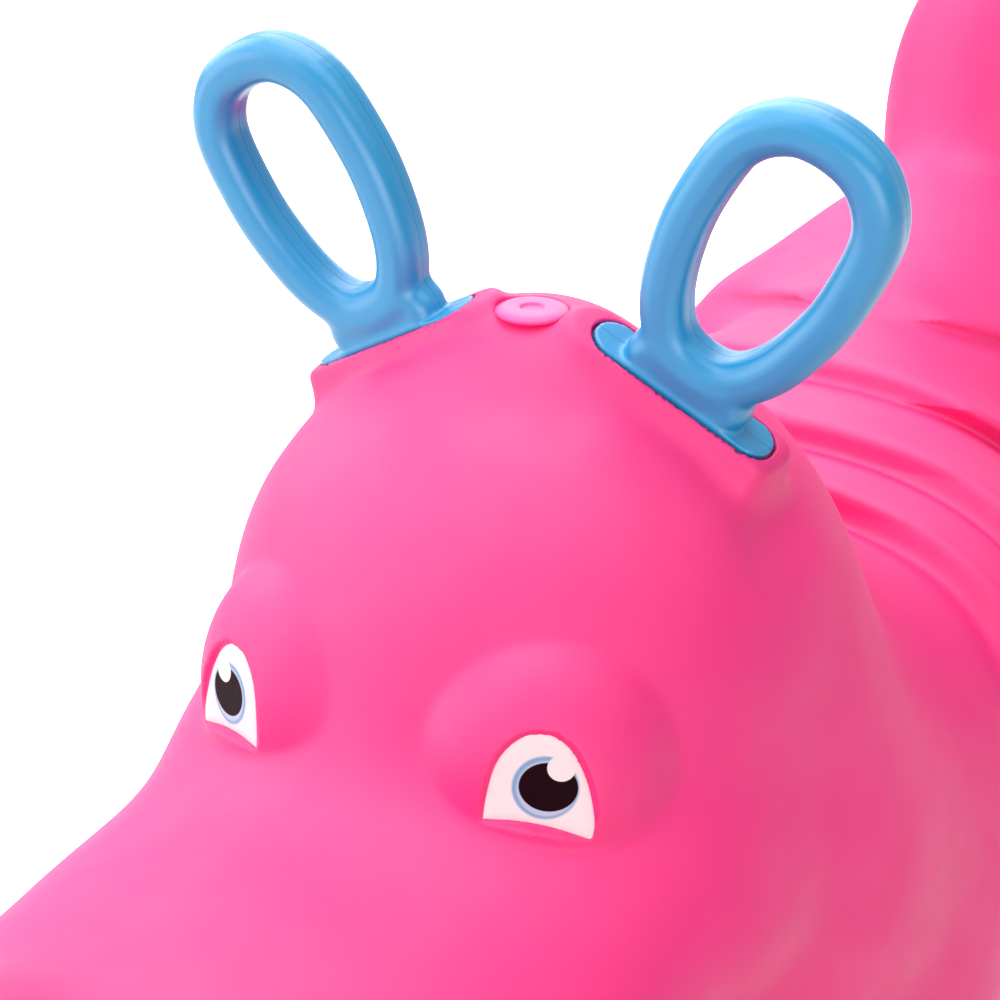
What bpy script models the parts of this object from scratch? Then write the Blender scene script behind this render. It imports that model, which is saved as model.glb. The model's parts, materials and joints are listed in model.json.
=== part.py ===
# Rocking hippo ride-on: one blow-moulded hollow body with its own runners, two loop ears for handles,
# printed eye labels and pressed-in plugs. The hippo looks along -Y and its left side is +X.
# All sizes are metres. Body places are told from the ear line, the middle point between the ear plates.
import bpy
import bmesh
import math
import numpy as np
from mathutils import Matrix, Vector

# Where the ear line is over the floor, and how far ahead of the middle of the toy
EAR_LINE_HEIGHT = 0.355
EAR_LINE_AHEAD = 0.1456

# Wall of the moulding, and the space left between pieces that touch
WALL = 0.0036
FIT_GAP = 0.0003
LOCAL_THINNING = 0.0003

# Head, neck, chest and muzzle
HEAD_WIDTH = 0.1956
HEAD_LENGTH = 0.2028
HEAD_HEIGHT = 0.1884
CHEEK_WIDTH = 0.2106
CHEEK_LENGTH = 0.1554
CHEEK_HEIGHT = 0.117
SNOUT_WIDTH = 0.1948
SNOUT_LENGTH = 0.246
SNOUT_HEIGHT = 0.098
BRIDGE_WIDTH = 0.1132
BRIDGE_LENGTH = 0.0758
BRIDGE_HEIGHT = 0.0332
MUZZLE_WIDTH = 0.1732
MUZZLE_LENGTH = 0.125
MUZZLE_HEIGHT = 0.0716
MUZZLE_REACH = 0.2114
NECK_WIDTH = 0.2206
NECK_LENGTH = 0.124
NECK_HEIGHT = 0.2042
CHEST_WIDTH = 0.260
CHEST_LENGTH = 0.230
CHEST_HEIGHT = 0.230
NOSTRIL_SPREAD = 0.041
JAW_DEPTH = 0.051
MOUTH_HEIGHT = -0.192
MOUTH_DEPTH = 0.0050
EYE_SPREAD = 0.0369
EYE_PLACE = -0.0650
EYE_HEIGHT = -0.0931
EYE_BULGE_WIDTH = 0.0824
EYE_BULGE_DEPTH = 0.0370
EYE_BULGE_HEIGHT = 0.0934

# Seat, rump and backrest
SEAT_HEIGHT = -0.102
SHOULDER_WIDTH = 0.260
WAIST_WIDTH = 0.196
RUMP_WIDTH = 0.190
RUMP_HEIGHT = 0.176
BACKREST_PLACE = 0.520
BACKREST_WIDTH = 0.109
BACKREST_DEPTH = 0.094
BACKREST_TOP = 0.045
SEAT_FOLD_PLACES = (0.1445, 0.1945, 0.2555, 0.3350)
SEAT_FOLD_HEIGHTS = (0.0115, 0.0100, 0.0085, 0.0060)
SEAT_FOLD_LEANS = (-0.2, -0.3, 0.7, 1.7)
SEAT_FOLD_LENGTH = 0.045
SEAT_FOLD_EDGE = 0.0030
SEAT_SQUARENESS = 2.7
RUMP_SQUARENESS = 2.0

# Legs and runners
LEG_SPREAD = 0.104
FRONT_LEG_PLACE = 0.070
REAR_LEG_PLACE = 0.430
RUNNER_RADIUS = 0.750
RUNNER_MIDDLE = 0.200
RUNNER_REACH = 0.352
RUNNER_SPREAD = 0.110
RUNNER_WIDTH = 0.054
RUNNER_DEPTH = 0.038
RUNNER_FLAT_DEPTH = 0.0015
FOOTREST_PLACE = 0.235
FOOTREST_OUT = 0.159

# Ear loops
EAR_SPREAD = 0.0495
EAR_LEAN_OUT = math.radians(28.6)
EAR_LEAN_AHEAD = math.radians(6.5)
GRIP_WIDTH = 0.0142
GRIP_DEPTH = 0.0170
LOOP_HEIGHT = 0.0998
LOOP_WIDTH = 0.0636
EAR_WALL = 0.0021

# Ear plate, its pocket in the raised socket, and the tongue that locks under the wall
PLATE_LENGTH = 0.063
PLATE_WIDTH = 0.0160
PLATE_DEPTH = 0.0030
POCKET_CLEAR = 0.0008
SOCKET_RIM = -0.0010
SOCKET_EDGE = 0.0030
TONGUE_LENGTH = 0.040
TONGUE_WIDTH = 0.0090
TONGUE_DEPTH = 0.0175
BARB = 0.0020

# Screws of the ear halves
SCREW_SHANK = 0.0024
SCREW_HEAD = 0.0056
SCREW_HEAD_DEPTH = 0.0018
SCREW_RECESS = 0.0024
SCREW_BOSS = 0.0150

# Plugs
CROWN_PLUG_WIDTH = 0.0220
CROWN_PLUG_STEM = 0.0110
CROWN_TOP = 0.0165
CROWN_PLUG_PLACE = -0.0020
BELLY_PLUG_WIDTH = 0.0340
BELLY_PLUG_STEM = 0.0240
BELLY_PLUG_PLACE = 0.262
BELLY_BOTTOM = -0.2500
PLUG_SEAT_DEPTH = 0.0016

# Eye label and the flat recess it lies in
LABEL_WIDTH = 0.0308
LABEL_HEIGHT = 0.0308
LABEL_THICKNESS = 0.0004
LABEL_MARGIN = 0.0016
RECESS_DEPTH = 0.0008
LABEL_CENTRE = (0.0507, -0.0949, -0.0858)
LABEL_FACING = (0.4312, -0.8890, 0.1544)

# Mesh fineness
BODY_STEP = 0.0050
BODY_FACES = 7300
CAVITY_FACES = 2200
EAR_STEP = 0.0017
EAR_FACES = 1240
HOLLOW_FACES = 330

HERE = np.array([0.0, -EAR_LINE_AHEAD, EAR_LINE_HEIGHT])
FLOOR = -EAR_LINE_HEIGHT
RUNNER_CENTRE = FLOOR - RUNNER_FLAT_DEPTH + RUNNER_RADIUS

for old in list(bpy.data.objects):
    bpy.data.objects.remove(old, do_unlink=True)


def material(name, colour, roughness, metallic=0.0):
    made = bpy.data.materials.new(name)
    made.use_nodes = True
    shader = made.node_tree.nodes["Principled BSDF"]
    shader.inputs["Base Color"].default_value = colour
    shader.inputs["Roughness"].default_value = roughness
    shader.inputs["Metallic"].default_value = metallic
    made.diffuse_color = colour
    return made


# Smooth shapes told by their distance, negative inside

def egg(p, centre, radii, lean=0.0):
    q = p - np.array(centre)
    if lean:
        c = math.cos(math.radians(lean))
        s = math.sin(math.radians(lean))
        q = np.stack([q[:, 0], q[:, 1] * c + q[:, 2] * s, q[:, 2] * c - q[:, 1] * s], -1)
    r = np.array(radii)
    near = np.sqrt(((q / r) ** 2).sum(-1) + 1e-12)
    far = np.sqrt(((q / r ** 2) ** 2).sum(-1) + 1e-12)
    return near * (near - 1) / far


def limb(p, start, end, start_radius, end_radius):
    a = np.array(start)
    d = np.array(end) - a
    t = np.clip(((p - a) @ d) / (d @ d), 0, 1)
    off = (p - a) - t[:, None] * d
    return np.sqrt((off ** 2).sum(-1) + 1e-12) - (start_radius + (end_radius - start_radius) * t)


def join(a, b, blend):
    h = np.maximum(blend - np.abs(a - b), 0) / blend
    return np.minimum(a, b) - h * h * h * blend / 6


def keep(a, b, blend):
    return -join(-a, -b, blend)


def profile(points, soft):
    """A smooth curve through (place, value) pairs, as a function of the place."""
    pairs = np.array(points, float)
    at = np.linspace(pairs[0, 0] - 0.05, pairs[-1, 0] + 0.05, 1600)
    value = np.interp(at, pairs[:, 0], pairs[:, 1])
    spread = soft / (at[1] - at[0])
    reach = int(3 * spread)
    bell = np.exp(-0.5 * (np.arange(-reach, reach + 1) / spread) ** 2)
    value = np.convolve(np.pad(value, reach, mode="edge"), bell / bell.sum(), "valid")
    return lambda q: np.interp(q, at, value)


# Half width, top, belly and squareness of the trunk along the back
TRUNK_HALF = profile([(0, 0.055), (0.04, 0.065), (0.09, 0.105), (0.14, SHOULDER_WIDTH / 2),
                      (0.2, SHOULDER_WIDTH / 2), (0.25, SHOULDER_WIDTH / 2 - 0.015), (0.30, WAIST_WIDTH / 2 + 0.002),
                      (0.36, WAIST_WIDTH / 2), (0.42, WAIST_WIDTH / 2 - 0.002), (0.48, WAIST_WIDTH / 2 - 0.012)], 0.016)
TRUNK_TOP = profile([(0, -0.060), (0.055, -0.077), (0.10, SEAT_HEIGHT + 0.006), (0.14, SEAT_HEIGHT),
                     (0.18, SEAT_HEIGHT), (0.23, SEAT_HEIGHT + 0.001), (0.295, SEAT_HEIGHT + 0.006),
                     (0.36, SEAT_HEIGHT + 0.010), (0.41, SEAT_HEIGHT + 0.022), (0.46, -0.062)], 0.012)
TRUNK_BELLY = profile([(0, BELLY_BOTTOM + 0.03), (0.1, BELLY_BOTTOM + 0.005), (0.18, BELLY_BOTTOM),
                       (0.3, BELLY_BOTTOM), (0.5, BELLY_BOTTOM + 0.015)], 0.02)
TRUNK_SQUARE = profile([(0, SEAT_SQUARENESS - 0.3), (0.1, SEAT_SQUARENESS), (0.24, SEAT_SQUARENESS),
                        (0.31, RUMP_SQUARENESS), (0.45, RUMP_SQUARENESS)], 0.02)


def seat_folds(y, drop, lift):
    """Height of the soft skin folds: a crease, a steep front, and a back that dies away to the rear."""
    height = np.zeros_like(y)
    for place, tall, lean in zip(SEAT_FOLD_PLACES, SEAT_FOLD_HEIGHTS, SEAT_FOLD_LEANS):
        edge = SEAT_FOLD_EDGE * (1.6 if lean > 1 else 1)
        d = y - place - lean * drop + 0.7 * lift
        front = 1 / (1 + np.exp(-np.clip(d / edge, -40, 40)))
        crease = 0.3 * np.exp(-((d + 2.6 * edge) / (2.2 * edge)) ** 2)
        height += tall * (front * np.exp(-np.maximum(d, 0) / SEAT_FOLD_LENGTH) - crease)
    return height


def trunk(p):
    x, y, z = p.T
    half = TRUNK_HALF(y)
    top = TRUNK_TOP(y)
    belly = TRUNK_BELLY(y)
    square = TRUNK_SQUARE(y)
    middle = top - 0.62 * (top - belly)
    upper = top - middle
    height = np.where(z > middle, upper, middle - belly)
    k = ((np.abs(x) / half) ** square + (np.abs(z - middle) / height) ** square + 1e-9) ** (1 / square)
    shell = (k - 1) * np.minimum(half, upper) * 0.9
    return keep(shell, np.maximum(-y, y - 0.47), 0.045)


def turned(ahead, out):
    """The turn of an ear that leans ahead and out."""
    a, b = math.cos(ahead), math.sin(ahead)
    c, d = math.cos(out), math.sin(out)
    return np.array([[1, 0, 0], [0, a, -b], [0, b, a]]) @ np.array([[c, 0, d], [0, 1, 0], [-d, 0, c]])


TO_EAR = turned(EAR_LEAN_AHEAD, EAR_LEAN_OUT)


def from_ear(p):
    """Places told along the plate, across it and up the loop of the left ear."""
    return ((p - np.array([EAR_SPREAD, 0, 0])) @ TO_EAR).T


def from_label(p):
    """Places told across the left eye label, up it and out of it."""
    facing = np.array(LABEL_FACING) / np.linalg.norm(LABEL_FACING)
    across = np.cross((0, 0, 1), facing)
    across = across / np.linalg.norm(across)
    return ((p - np.array(LABEL_CENTRE)) @ np.stack([across, np.cross(facing, across), facing], -1)).T


def head(p):
    shape = egg(p, (0, 0.0041, -0.0892), (HEAD_WIDTH / 2, HEAD_LENGTH / 2, HEAD_HEIGHT / 2))
    cheek = egg(p, (0, -0.0383, -0.147), (CHEEK_WIDTH / 2, CHEEK_LENGTH / 2, CHEEK_HEIGHT / 2))
    snout = egg(p, (0, -0.1321, -0.1514), (SNOUT_WIDTH / 2, SNOUT_LENGTH / 2, SNOUT_HEIGHT / 2))
    bridge = egg(p, (0, -0.0533, -0.1315), (BRIDGE_WIDTH / 2, BRIDGE_LENGTH / 2, BRIDGE_HEIGHT / 2))
    muzzle = egg(p, (0, -MUZZLE_REACH, -0.1438), (MUZZLE_WIDTH / 2, MUZZLE_LENGTH / 2, MUZZLE_HEIGHT / 2))
    shape = join(join(shape, cheek, 0.045), join(snout, bridge, 0.050), 0.050)
    shape = join(shape, muzzle, 0.045)
    shape = join(shape, egg(p, (NOSTRIL_SPREAD, -0.234, -0.116), (0.027, 0.030, 0.023)), 0.027)
    shape = join(shape, egg(p, (0, -0.165, -0.176), (0.067, 0.105, JAW_DEPTH)), 0.040)
    shape = join(shape, egg(p, (0, -0.204, -0.184), (0.080, 0.060, JAW_DEPTH + 0.004)), 0.040)
    # nostril hollows and the long mouth line
    shape = keep(shape, -egg(p, (NOSTRIL_SPREAD + 0.003, -0.262, -0.106), (0.0095, 0.008, 0.010)), 0.010)
    line = MOUTH_HEIGHT + 0.10 * np.clip(-0.11 - p[:, 1], 0, 0.1) ** 1.2
    within = 1 / (1 + np.exp(np.clip((p[:, 1] + 0.135) / 0.008, -40, 40)))
    shape = shape + MOUTH_DEPTH * np.exp(-((p[:, 2] - line) / 0.0055) ** 2) * within
    # eye dome, turned the way its label looks and set off by a tight crease
    a, b = LABEL_FACING[0], LABEL_FACING[1]
    off = p - np.array([EYE_SPREAD, EYE_PLACE, EYE_HEIGHT])
    across = np.stack([off[:, 1] * a - off[:, 0] * b, off[:, 0] * a + off[:, 1] * b, off[:, 2]], -1)
    eye = egg(across, (0, 0, 0), (EYE_BULGE_WIDTH / 2, EYE_BULGE_DEPTH, EYE_BULGE_HEIGHT / 2))
    shape = join(shape, eye, 0.005)
    # crown between the ears, raised ear socket, and the temple hollow under its outer end
    shape = join(shape, egg(p, (0, 0.004, CROWN_TOP - 0.0265), (0.038, 0.033, 0.0265)), 0.016)
    u, v, w = from_ear(p)
    length = (PLATE_LENGTH - PLATE_WIDTH) / 2 + 0.006
    ring = np.sqrt(np.maximum(np.abs(u) - length, 0) ** 2 + v ** 2 + 1e-10)
    ring = ring - (PLATE_WIDTH / 2 + SOCKET_EDGE - 0.0005 - 0.33 * np.clip(w, -0.03, 0.01))
    socket = keep(ring * 0.95, np.abs(w - SOCKET_RIM + 0.0145) - 0.0150, 0.0035)
    shape = join(shape, socket, 0.007)
    return keep(shape, -egg(p, (0.101, -0.004, -0.030), (0.022, 0.028, 0.017)), 0.016)


def legs(p):
    shape = egg(p, (0.079, 0.13, -0.235), (0.068, 0.105, 0.115))
    front = limb(p, (0.092, 0.085, -0.24), (LEG_SPREAD, FRONT_LEG_PLACE, -0.32), 0.046, 0.040)
    shape = join(shape, front, 0.030)
    shape = join(shape, egg(p, (0.077, 0.42, -0.22), (0.066, 0.085, 0.10)), 0.030)
    rear = limb(p, (0.092, 0.425, -0.24), (LEG_SPREAD, REAR_LEG_PLACE, -0.305), 0.050, 0.044)
    shape = join(shape, rear, 0.030)
    reach = np.hypot(p[:, 1] - RUNNER_MIDDLE, p[:, 2] - RUNNER_CENTRE)
    return keep(shape, reach - (RUNNER_RADIUS - 0.012), 0.010)


def toes(p):
    shape = None
    for place in (FRONT_LEG_PLACE - 0.030, REAR_LEG_PLACE - 0.036):
        for x, y in ((-0.022, 0.004), (0.002, -0.006), (0.026, 0.004)):
            lift = (place + y - RUNNER_MIDDLE) ** 2 / (2 * RUNNER_RADIUS)
            toe = egg(p, (LEG_SPREAD + x, place + y, FLOOR + 0.041 + lift), (0.0125, 0.0120, 0.0125))
            shape = toe if shape is None else join(shape, toe, 0.003)
    return shape


def runner(p):
    x, y, z = p.T
    reach = np.hypot(y - RUNNER_MIDDLE, z - RUNNER_CENTRE)
    edge = 0.008
    across = np.abs(x - RUNNER_SPREAD) - (RUNNER_WIDTH / 2 - edge)
    deep = np.abs(reach - (RUNNER_RADIUS - RUNNER_DEPTH / 2)) - (RUNNER_DEPTH / 2 - edge)
    shape = np.hypot(np.maximum(across, 0), np.maximum(deep, 0))
    shape = shape + np.minimum(np.maximum(across, deep), 0) - edge
    shape = keep(shape, np.maximum(np.abs(y - RUNNER_MIDDLE) - RUNNER_REACH, z + 0.15), 0.020)
    out = FOOTREST_OUT - 0.034
    return join(shape, egg(p, (out, FOOTREST_PLACE, FLOOR + 0.030), (0.034, 0.055, 0.016)), 0.020)


def body(p):
    """The outer skin of the moulding; the two sides are alike."""
    q = p.copy()
    q[:, 0] = np.sqrt(q[:, 0] ** 2 + 1e-8)
    shape = join(trunk(q), egg(q, (0, 0.455, -0.172), (RUMP_WIDTH / 2, 0.08, RUMP_HEIGHT / 2)), 0.040)
    rest = egg(q, (0, BACKREST_PLACE, BACKREST_TOP - 0.10), (BACKREST_WIDTH / 2, BACKREST_DEPTH / 2, 0.10), 8)
    shape = join(shape, rest, 0.060)
    neck = egg(q, (0, 0.028, -0.1299), (NECK_WIDTH / 2, NECK_LENGTH / 2, NECK_HEIGHT / 2))
    chest = egg(q, (0, 0.040, -0.182), (CHEST_WIDTH / 2, CHEST_LENGTH / 2, CHEST_HEIGHT / 2))
    shape = join(shape, join(neck, chest, 0.030), 0.045)
    side = np.clip((q[:, 2] + 0.215) / 0.085, 0, 1)
    drop = np.clip(TRUNK_TOP(q[:, 1]) - q[:, 2], 0, 0.125)
    folds = seat_folds(q[:, 1], drop, np.clip(shape, -0.004, 0.02))
    shape = shape - folds * side * side * (3 - 2 * side)
    shape = join(shape, legs(q), 0.040)
    shape = join(shape, runner(q), 0.020)
    shape = join(shape, toes(q), 0.006)
    # a stub of a tail
    shape = join(shape, limb(q, (0, 0.530, -0.120), (0, 0.560, -0.150), 0.012, 0.009), 0.014)
    return join(head(q), shape, 0.035)


def cavity(p):
    """The inside of the wall, with full thickness kept under the ear plates, the labels and the plugs."""
    q = p.copy()
    q[:, 0] = np.abs(q[:, 0])
    u, v, w = from_ear(q)
    length = (PLATE_LENGTH - PLATE_WIDTH) / 2
    under = np.sqrt(np.maximum(np.abs(u) - length, 0) ** 2 + v ** 2) - (PLATE_WIDTH / 2 + 0.005)
    under = np.maximum(under, -(w + PLATE_DEPTH + FIT_GAP + WALL))
    inside = keep(body(p) + WALL, -under, 0.004)
    across, up, out = from_label(q)
    behind = np.maximum(np.hypot(across, up - 0.0025) - 0.0215, -(out + RECESS_DEPTH + WALL))
    inside = keep(inside, -behind, 0.003)
    inside = np.maximum(inside, FLOOR + WALL - p[:, 2])
    deep = PLUG_SEAT_DEPTH + WALL
    for radius, y, height in ((CROWN_PLUG_WIDTH / 2, CROWN_PLUG_PLACE, p[:, 2] - CROWN_TOP + deep),
                              (BELLY_PLUG_WIDTH / 2, BELLY_PLUG_PLACE, BELLY_BOTTOM + deep - p[:, 2])):
        seat = np.maximum(np.hypot(p[:, 0], p[:, 1] - y) - radius - 0.005, -height)
        inside = keep(inside, -seat, 0.003)
    return inside


def slope(field, p, e=0.0004):
    out = np.zeros_like(p)
    for axis in range(3):
        d = np.zeros(3)
        d[axis] = e
        out[:, axis] = (field(p + d) - field(p - d)) / (2 * e)
    return out


def settle(field, p, rounds, limit):
    """Moves points along the slope until they lie on the skin."""
    for _ in range(rounds):
        g = slope(field, p)
        move = -g * (field(p) / np.maximum((g * g).sum(-1), 0.05))[:, None]
        size = np.linalg.norm(move, axis=1)[:, None]
        p = p + move * np.minimum(1, limit / np.maximum(size, 1e-12))
    return p


def skin(level, low, step):
    """A closed skin of four-sided faces round the part of a grid where the level is negative."""
    inside = level < 0
    count = sum(inside[i:i + level.shape[0] - 1, j:j + level.shape[1] - 1, k:k + level.shape[2] - 1].astype(int)
                for i in (0, 1) for j in (0, 1) for k in (0, 1))
    mixed = (count > 0) & (count < 8)
    cells = np.argwhere(mixed)
    index = np.full(mixed.shape, -1)
    index[mixed] = np.arange(len(cells))
    total = np.zeros((len(cells), 3))
    hits = np.zeros(len(cells))
    corners = [(i, j, k) for i in (0, 1) for j in (0, 1) for k in (0, 1)]
    for a in corners:
        for axis in range(3):
            if a[axis]:
                continue
            b = tuple(1 if n == axis else a[n] for n in range(3))
            va = level[tuple((cells + a).T)]
            vb = level[tuple((cells + b).T)]
            cross = (va < 0) != (vb < 0)
            t = va / np.where(cross, va - vb, 1)
            place = np.array(a) + t[:, None] * (np.array(b) - np.array(a))
            total[cross] += place[cross]
            hits[cross] += 1
    points = low + (cells + total / hits[:, None]) * step
    faces = []
    for axis in range(3):
        ahead = [slice(None)] * 3
        behind = [slice(None)] * 3
        ahead[axis] = slice(1, None)
        behind[axis] = slice(None, -1)
        change = inside[tuple(ahead)] != inside[tuple(behind)]
        at = np.argwhere(change)
        o1 = np.zeros(3, int)
        o2 = np.zeros(3, int)
        o1[(axis + 1) % 3] = 1
        o2[(axis + 2) % 3] = 1
        four = [index[tuple((at - d).T)] for d in (o1 * 0, o1, o1 + o2, o2)]
        quad = np.stack(four, -1)
        turned = ~inside[tuple(at.T)]
        quad[turned] = quad[turned][:, ::-1]
        faces.append(quad)
    return points, np.concatenate(faces)


def part_corners(level):
    """Turns the weakest corner wherever a grid square has its two inside corners on a diagonal."""
    for _ in range(6):
        for axis in range(3):
            one = np.eye(3, dtype=int)[(axis + 1) % 3]
            two = np.eye(3, dtype=int)[(axis + 2) % 3]
            size = np.array(level.shape) - one - two
            views = [level[d[0]:d[0] + size[0], d[1]:d[1] + size[1], d[2]:d[2] + size[2]]
                     for d in (one * 0, one, one + two, two)]
            a, b, c, d = [v < 0 for v in views]
            for spot in np.argwhere((a == c) & (b == d) & (a != b)):
                corners = [tuple(spot + o) for o in (one * 0, one, one + two, two)]
                weak = min(corners, key=lambda k: abs(level[k]))
                level[weak] = -1e-7 if level[weak] >= 0 else 1e-7


def extent(field):
    """The outer box of the half of a shape on its left side, found on a coarse grid, with room to spare."""
    coarse = 4 * BODY_STEP
    axes = [np.arange(a, b, coarse) for a, b in ((0, 0.5), (-0.7, 1.0), (FLOOR - 0.1, 0.4))]
    grid = np.stack(np.meshgrid(*axes, indexing="ij"), -1).reshape(-1, 3)
    within = grid[field(grid) < BODY_STEP]
    low = np.floor(within.min(0) / coarse - 1) * coarse
    low[0] = 0
    return low, within.max(0) + coarse


def grid_skin(field, low, high, step, mirrored):
    """Samples a shape on a grid and returns its settled skin; a mirrored one is sampled on one side only."""
    low = np.array(low)
    size = np.ceil((np.array(high) - low) / step).astype(int) + 1
    axes = [low[n] + step * np.arange(size[n]) for n in range(3)]
    level = np.empty(size)
    for i, x in enumerate(axes[0]):
        y, z = np.meshgrid(axes[1], axes[2], indexing="ij")
        level[i] = field(np.stack([np.full(y.size, x), y.ravel(), z.ravel()], -1)).reshape(y.shape)
    part_corners(level)
    if mirrored:
        level = np.concatenate([level[:0:-1], level])
        low = low - np.array([step * (size[0] - 1), 0, 0])
    points, faces = skin(level, low, step)
    return settle(field, points, 3, step * 0.6), faces


def mesh_from(name, points, faces, turned=False):
    data = bpy.data.meshes.new(name)
    order = [list(map(int, f))[::-1] if turned else list(map(int, f)) for f in faces]
    data.from_pydata([tuple(map(float, v)) for v in points], [], order)
    data.update()
    return data


def lighten(data, target):
    """The same closed skin in about the given number of triangles."""
    tool = bpy.data.objects.new("lighten", data)
    bpy.context.scene.collection.objects.link(tool)
    split = tool.modifiers.new("split", "TRIANGULATE")
    split.quad_method = "SHORTEST_DIAGONAL"
    fewer = tool.modifiers.new("fewer", "DECIMATE")
    fewer.ratio = target / (2 * len(data.polygons))
    graph = bpy.context.evaluated_depsgraph_get()
    out = bpy.data.meshes.new_from_object(tool.evaluated_get(graph))
    bpy.data.objects.remove(tool, do_unlink=True)
    return out


def reset(data, field, limit):
    """Sets the points of a lightened skin back on the shape."""
    p = np.empty(len(data.vertices) * 3)
    data.vertices.foreach_get("co", p)
    p = settle(field, p.reshape(-1, 3), 2, limit)
    data.vertices.foreach_set("co", p.ravel())
    work = bmesh.new()
    work.from_mesh(data)
    bmesh.ops.remove_doubles(work, verts=work.verts, dist=0.00008)
    bmesh.ops.dissolve_degenerate(work, edges=work.edges, dist=0.00008)
    bmesh.ops.triangulate(work, faces=work.faces)
    work.to_mesh(data)
    work.free()
    data.update()
    return data


def draw_in(data, field, slack, rounds=12):
    """Draws the corners of coarse faces in until no face stands out of the shape by more than the slack."""
    count = len(data.vertices)
    p = np.empty(count * 3)
    data.vertices.foreach_get("co", p)
    p = p.reshape(-1, 3)
    faces = np.array([f.vertices[:] for f in data.polygons])
    weights = np.array([(1, 1, 1), (1, 1, 0), (0, 1, 1), (1, 0, 1), (4, 1, 1), (1, 4, 1), (1, 1, 4)], float)
    for _ in range(rounds):
        worst = np.zeros(len(faces))
        for w in weights / weights.sum(1)[:, None]:
            worst = np.maximum(worst, field(np.einsum("fkc,k->fc", p[faces], w)) - slack)
        lack = np.zeros(count)
        for n in range(3):
            np.maximum.at(lack, faces[:, n], worst)
        g = slope(field, p)
        p = p - g / np.maximum(np.linalg.norm(g, axis=1), 0.2)[:, None] * np.minimum(lack, 0.002)[:, None]
    data.vertices.foreach_set("co", p.ravel())
    data.update()
    return data


def place(name, data, finish=None, at=(0, 0, 0), turn=None, cutter=False):
    made = bpy.data.objects.new(name, data)
    bpy.context.scene.collection.objects.link(made)
    made.location = at
    if turn is not None:
        made.rotation_euler = turn.to_euler("XYZ")
    if finish is not None:
        data.materials.clear()
        data.materials.append(finish)
    if cutter:
        made.hide_render = True
        made.display_type = "WIRE"
    else:
        for face in data.polygons:
            face.use_smooth = True
    return made


def carve(target, cutter, operation="DIFFERENCE"):
    tool = target.modifiers.new(cutter.name, "BOOLEAN")
    tool.operation = operation
    tool.solver = "EXACT"
    tool.object = cutter


def lathe(name, outline, sides):
    """A turned solid from (radius, height) pairs that start and end on the axis."""
    points = [(0, 0, outline[0][1])]
    for radius, height in outline[1:-1]:
        for n in range(sides):
            a = 2 * math.pi * n / sides
            points.append((radius * math.cos(a), radius * math.sin(a), height))
    points.append((0, 0, outline[-1][1]))
    rings = len(outline) - 2
    last = len(points) - 1
    faces = []
    for n in range(sides):
        m = (n + 1) % sides
        faces.append((0, 1 + m, 1 + n))
        for ring in range(rings - 1):
            a = 1 + ring * sides
            faces.append((a + n, a + m, a + sides + m, a + sides + n))
        a = 1 + (rings - 1) * sides
        faces.append((a + n, a + m, last))
    return mesh_from(name, points, faces)


def prism(name, outline, low, high, along):
    """A straight solid from a flat outline, reached along Y or Z."""
    count = len(outline)
    points = []
    for level in (low, high):
        for a, b in outline:
            points.append((a, level, b) if along == "Y" else (a, b, level))
    faces = [list(range(count))[::-1], list(range(count, 2 * count))]
    for n in range(count):
        m = (n + 1) % count
        faces.append((n, m, count + m, count + n))
    data = mesh_from(name, points, faces)
    work = bmesh.new()
    work.from_mesh(data)
    bmesh.ops.recalc_face_normals(work, faces=work.faces)
    work.to_mesh(data)
    work.free()
    return data


def racetrack(length, width, sides=10):
    out = []
    for end in (1, -1):
        for n in range(sides + 1):
            a = math.pi * n / sides - math.pi / 2
            x = (length - width) / 2 + width / 2 * math.cos(a)
            out.append((end * x, end * width / 2 * math.sin(a)))
    return out


def mirrored(data, name):
    """The same piece for the other side."""
    points = [(-v.co.x, v.co.y, v.co.z) for v in data.vertices]
    return mesh_from(name, points, [f.vertices for f in data.polygons], turned=True)


pink = material("pink_polyethylene", (0.940, 0.090, 0.330, 1), 0.42)
plug_pink = material("pink_plug", (0.950, 0.180, 0.420, 1), 0.38)
blue = material("blue_polypropylene", (0.080, 0.390, 0.760, 1), 0.32)
label = material("printed_label", (0.900, 0.870, 0.870, 1), 0.25)
steel = material("zinc_steel", (0.560, 0.570, 0.580, 1), 0.35, 1.0)

# Body
LOW, HIGH = extent(body)
points, faces = grid_skin(body, LOW, HIGH, BODY_STEP, True)
outer = reset(lighten(mesh_from("outer", points, faces), BODY_FACES), body, 0.002)
points, faces = grid_skin(cavity, LOW, HIGH, BODY_STEP, True)
inner = reset(lighten(mesh_from("inner", points, faces), CAVITY_FACES), cavity, 0.002)
inner = draw_in(inner, cavity, 0.0004)
shell = place("body_shell", outer, pink, HERE)
under = place("floor_cutter", prism("floor", [(-0.3, -0.5), (0.3, -0.5), (0.3, 0.8), (-0.3, 0.8)],
                                    FLOOR - 0.1, FLOOR, "Z"), at=HERE, cutter=True)
carve(shell, under)
carve(shell, place("cavity_cutter", inner, at=HERE, cutter=True))

# Ear socket pockets and slots, with the same on the other side
pocket = racetrack(PLATE_LENGTH + 2 * POCKET_CLEAR, PLATE_WIDTH + 2 * POCKET_CLEAR)
slot_length = TONGUE_LENGTH + 2 * FIT_GAP
slot_width = TONGUE_WIDTH + 2 * FIT_GAP
slot = [(-slot_length / 2, -slot_width / 2), (slot_length / 2, -slot_width / 2),
        (slot_length / 2, slot_width / 2), (-slot_length / 2, slot_width / 2)]
room = (TONGUE_LENGTH / 2 + BARB + 0.0015, TONGUE_WIDTH / 2 + 0.0020)
barb_room = [(-room[0], -room[1]), (room[0], -room[1]), (room[0], room[1]), (-room[0], room[1])]
pocket_floor = -PLATE_DEPTH - FIT_GAP
EAR_SIDES = (("left", 1, Matrix(TO_EAR)), ("right", -1, Matrix(turned(EAR_LEAN_AHEAD, -EAR_LEAN_OUT))))
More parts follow.
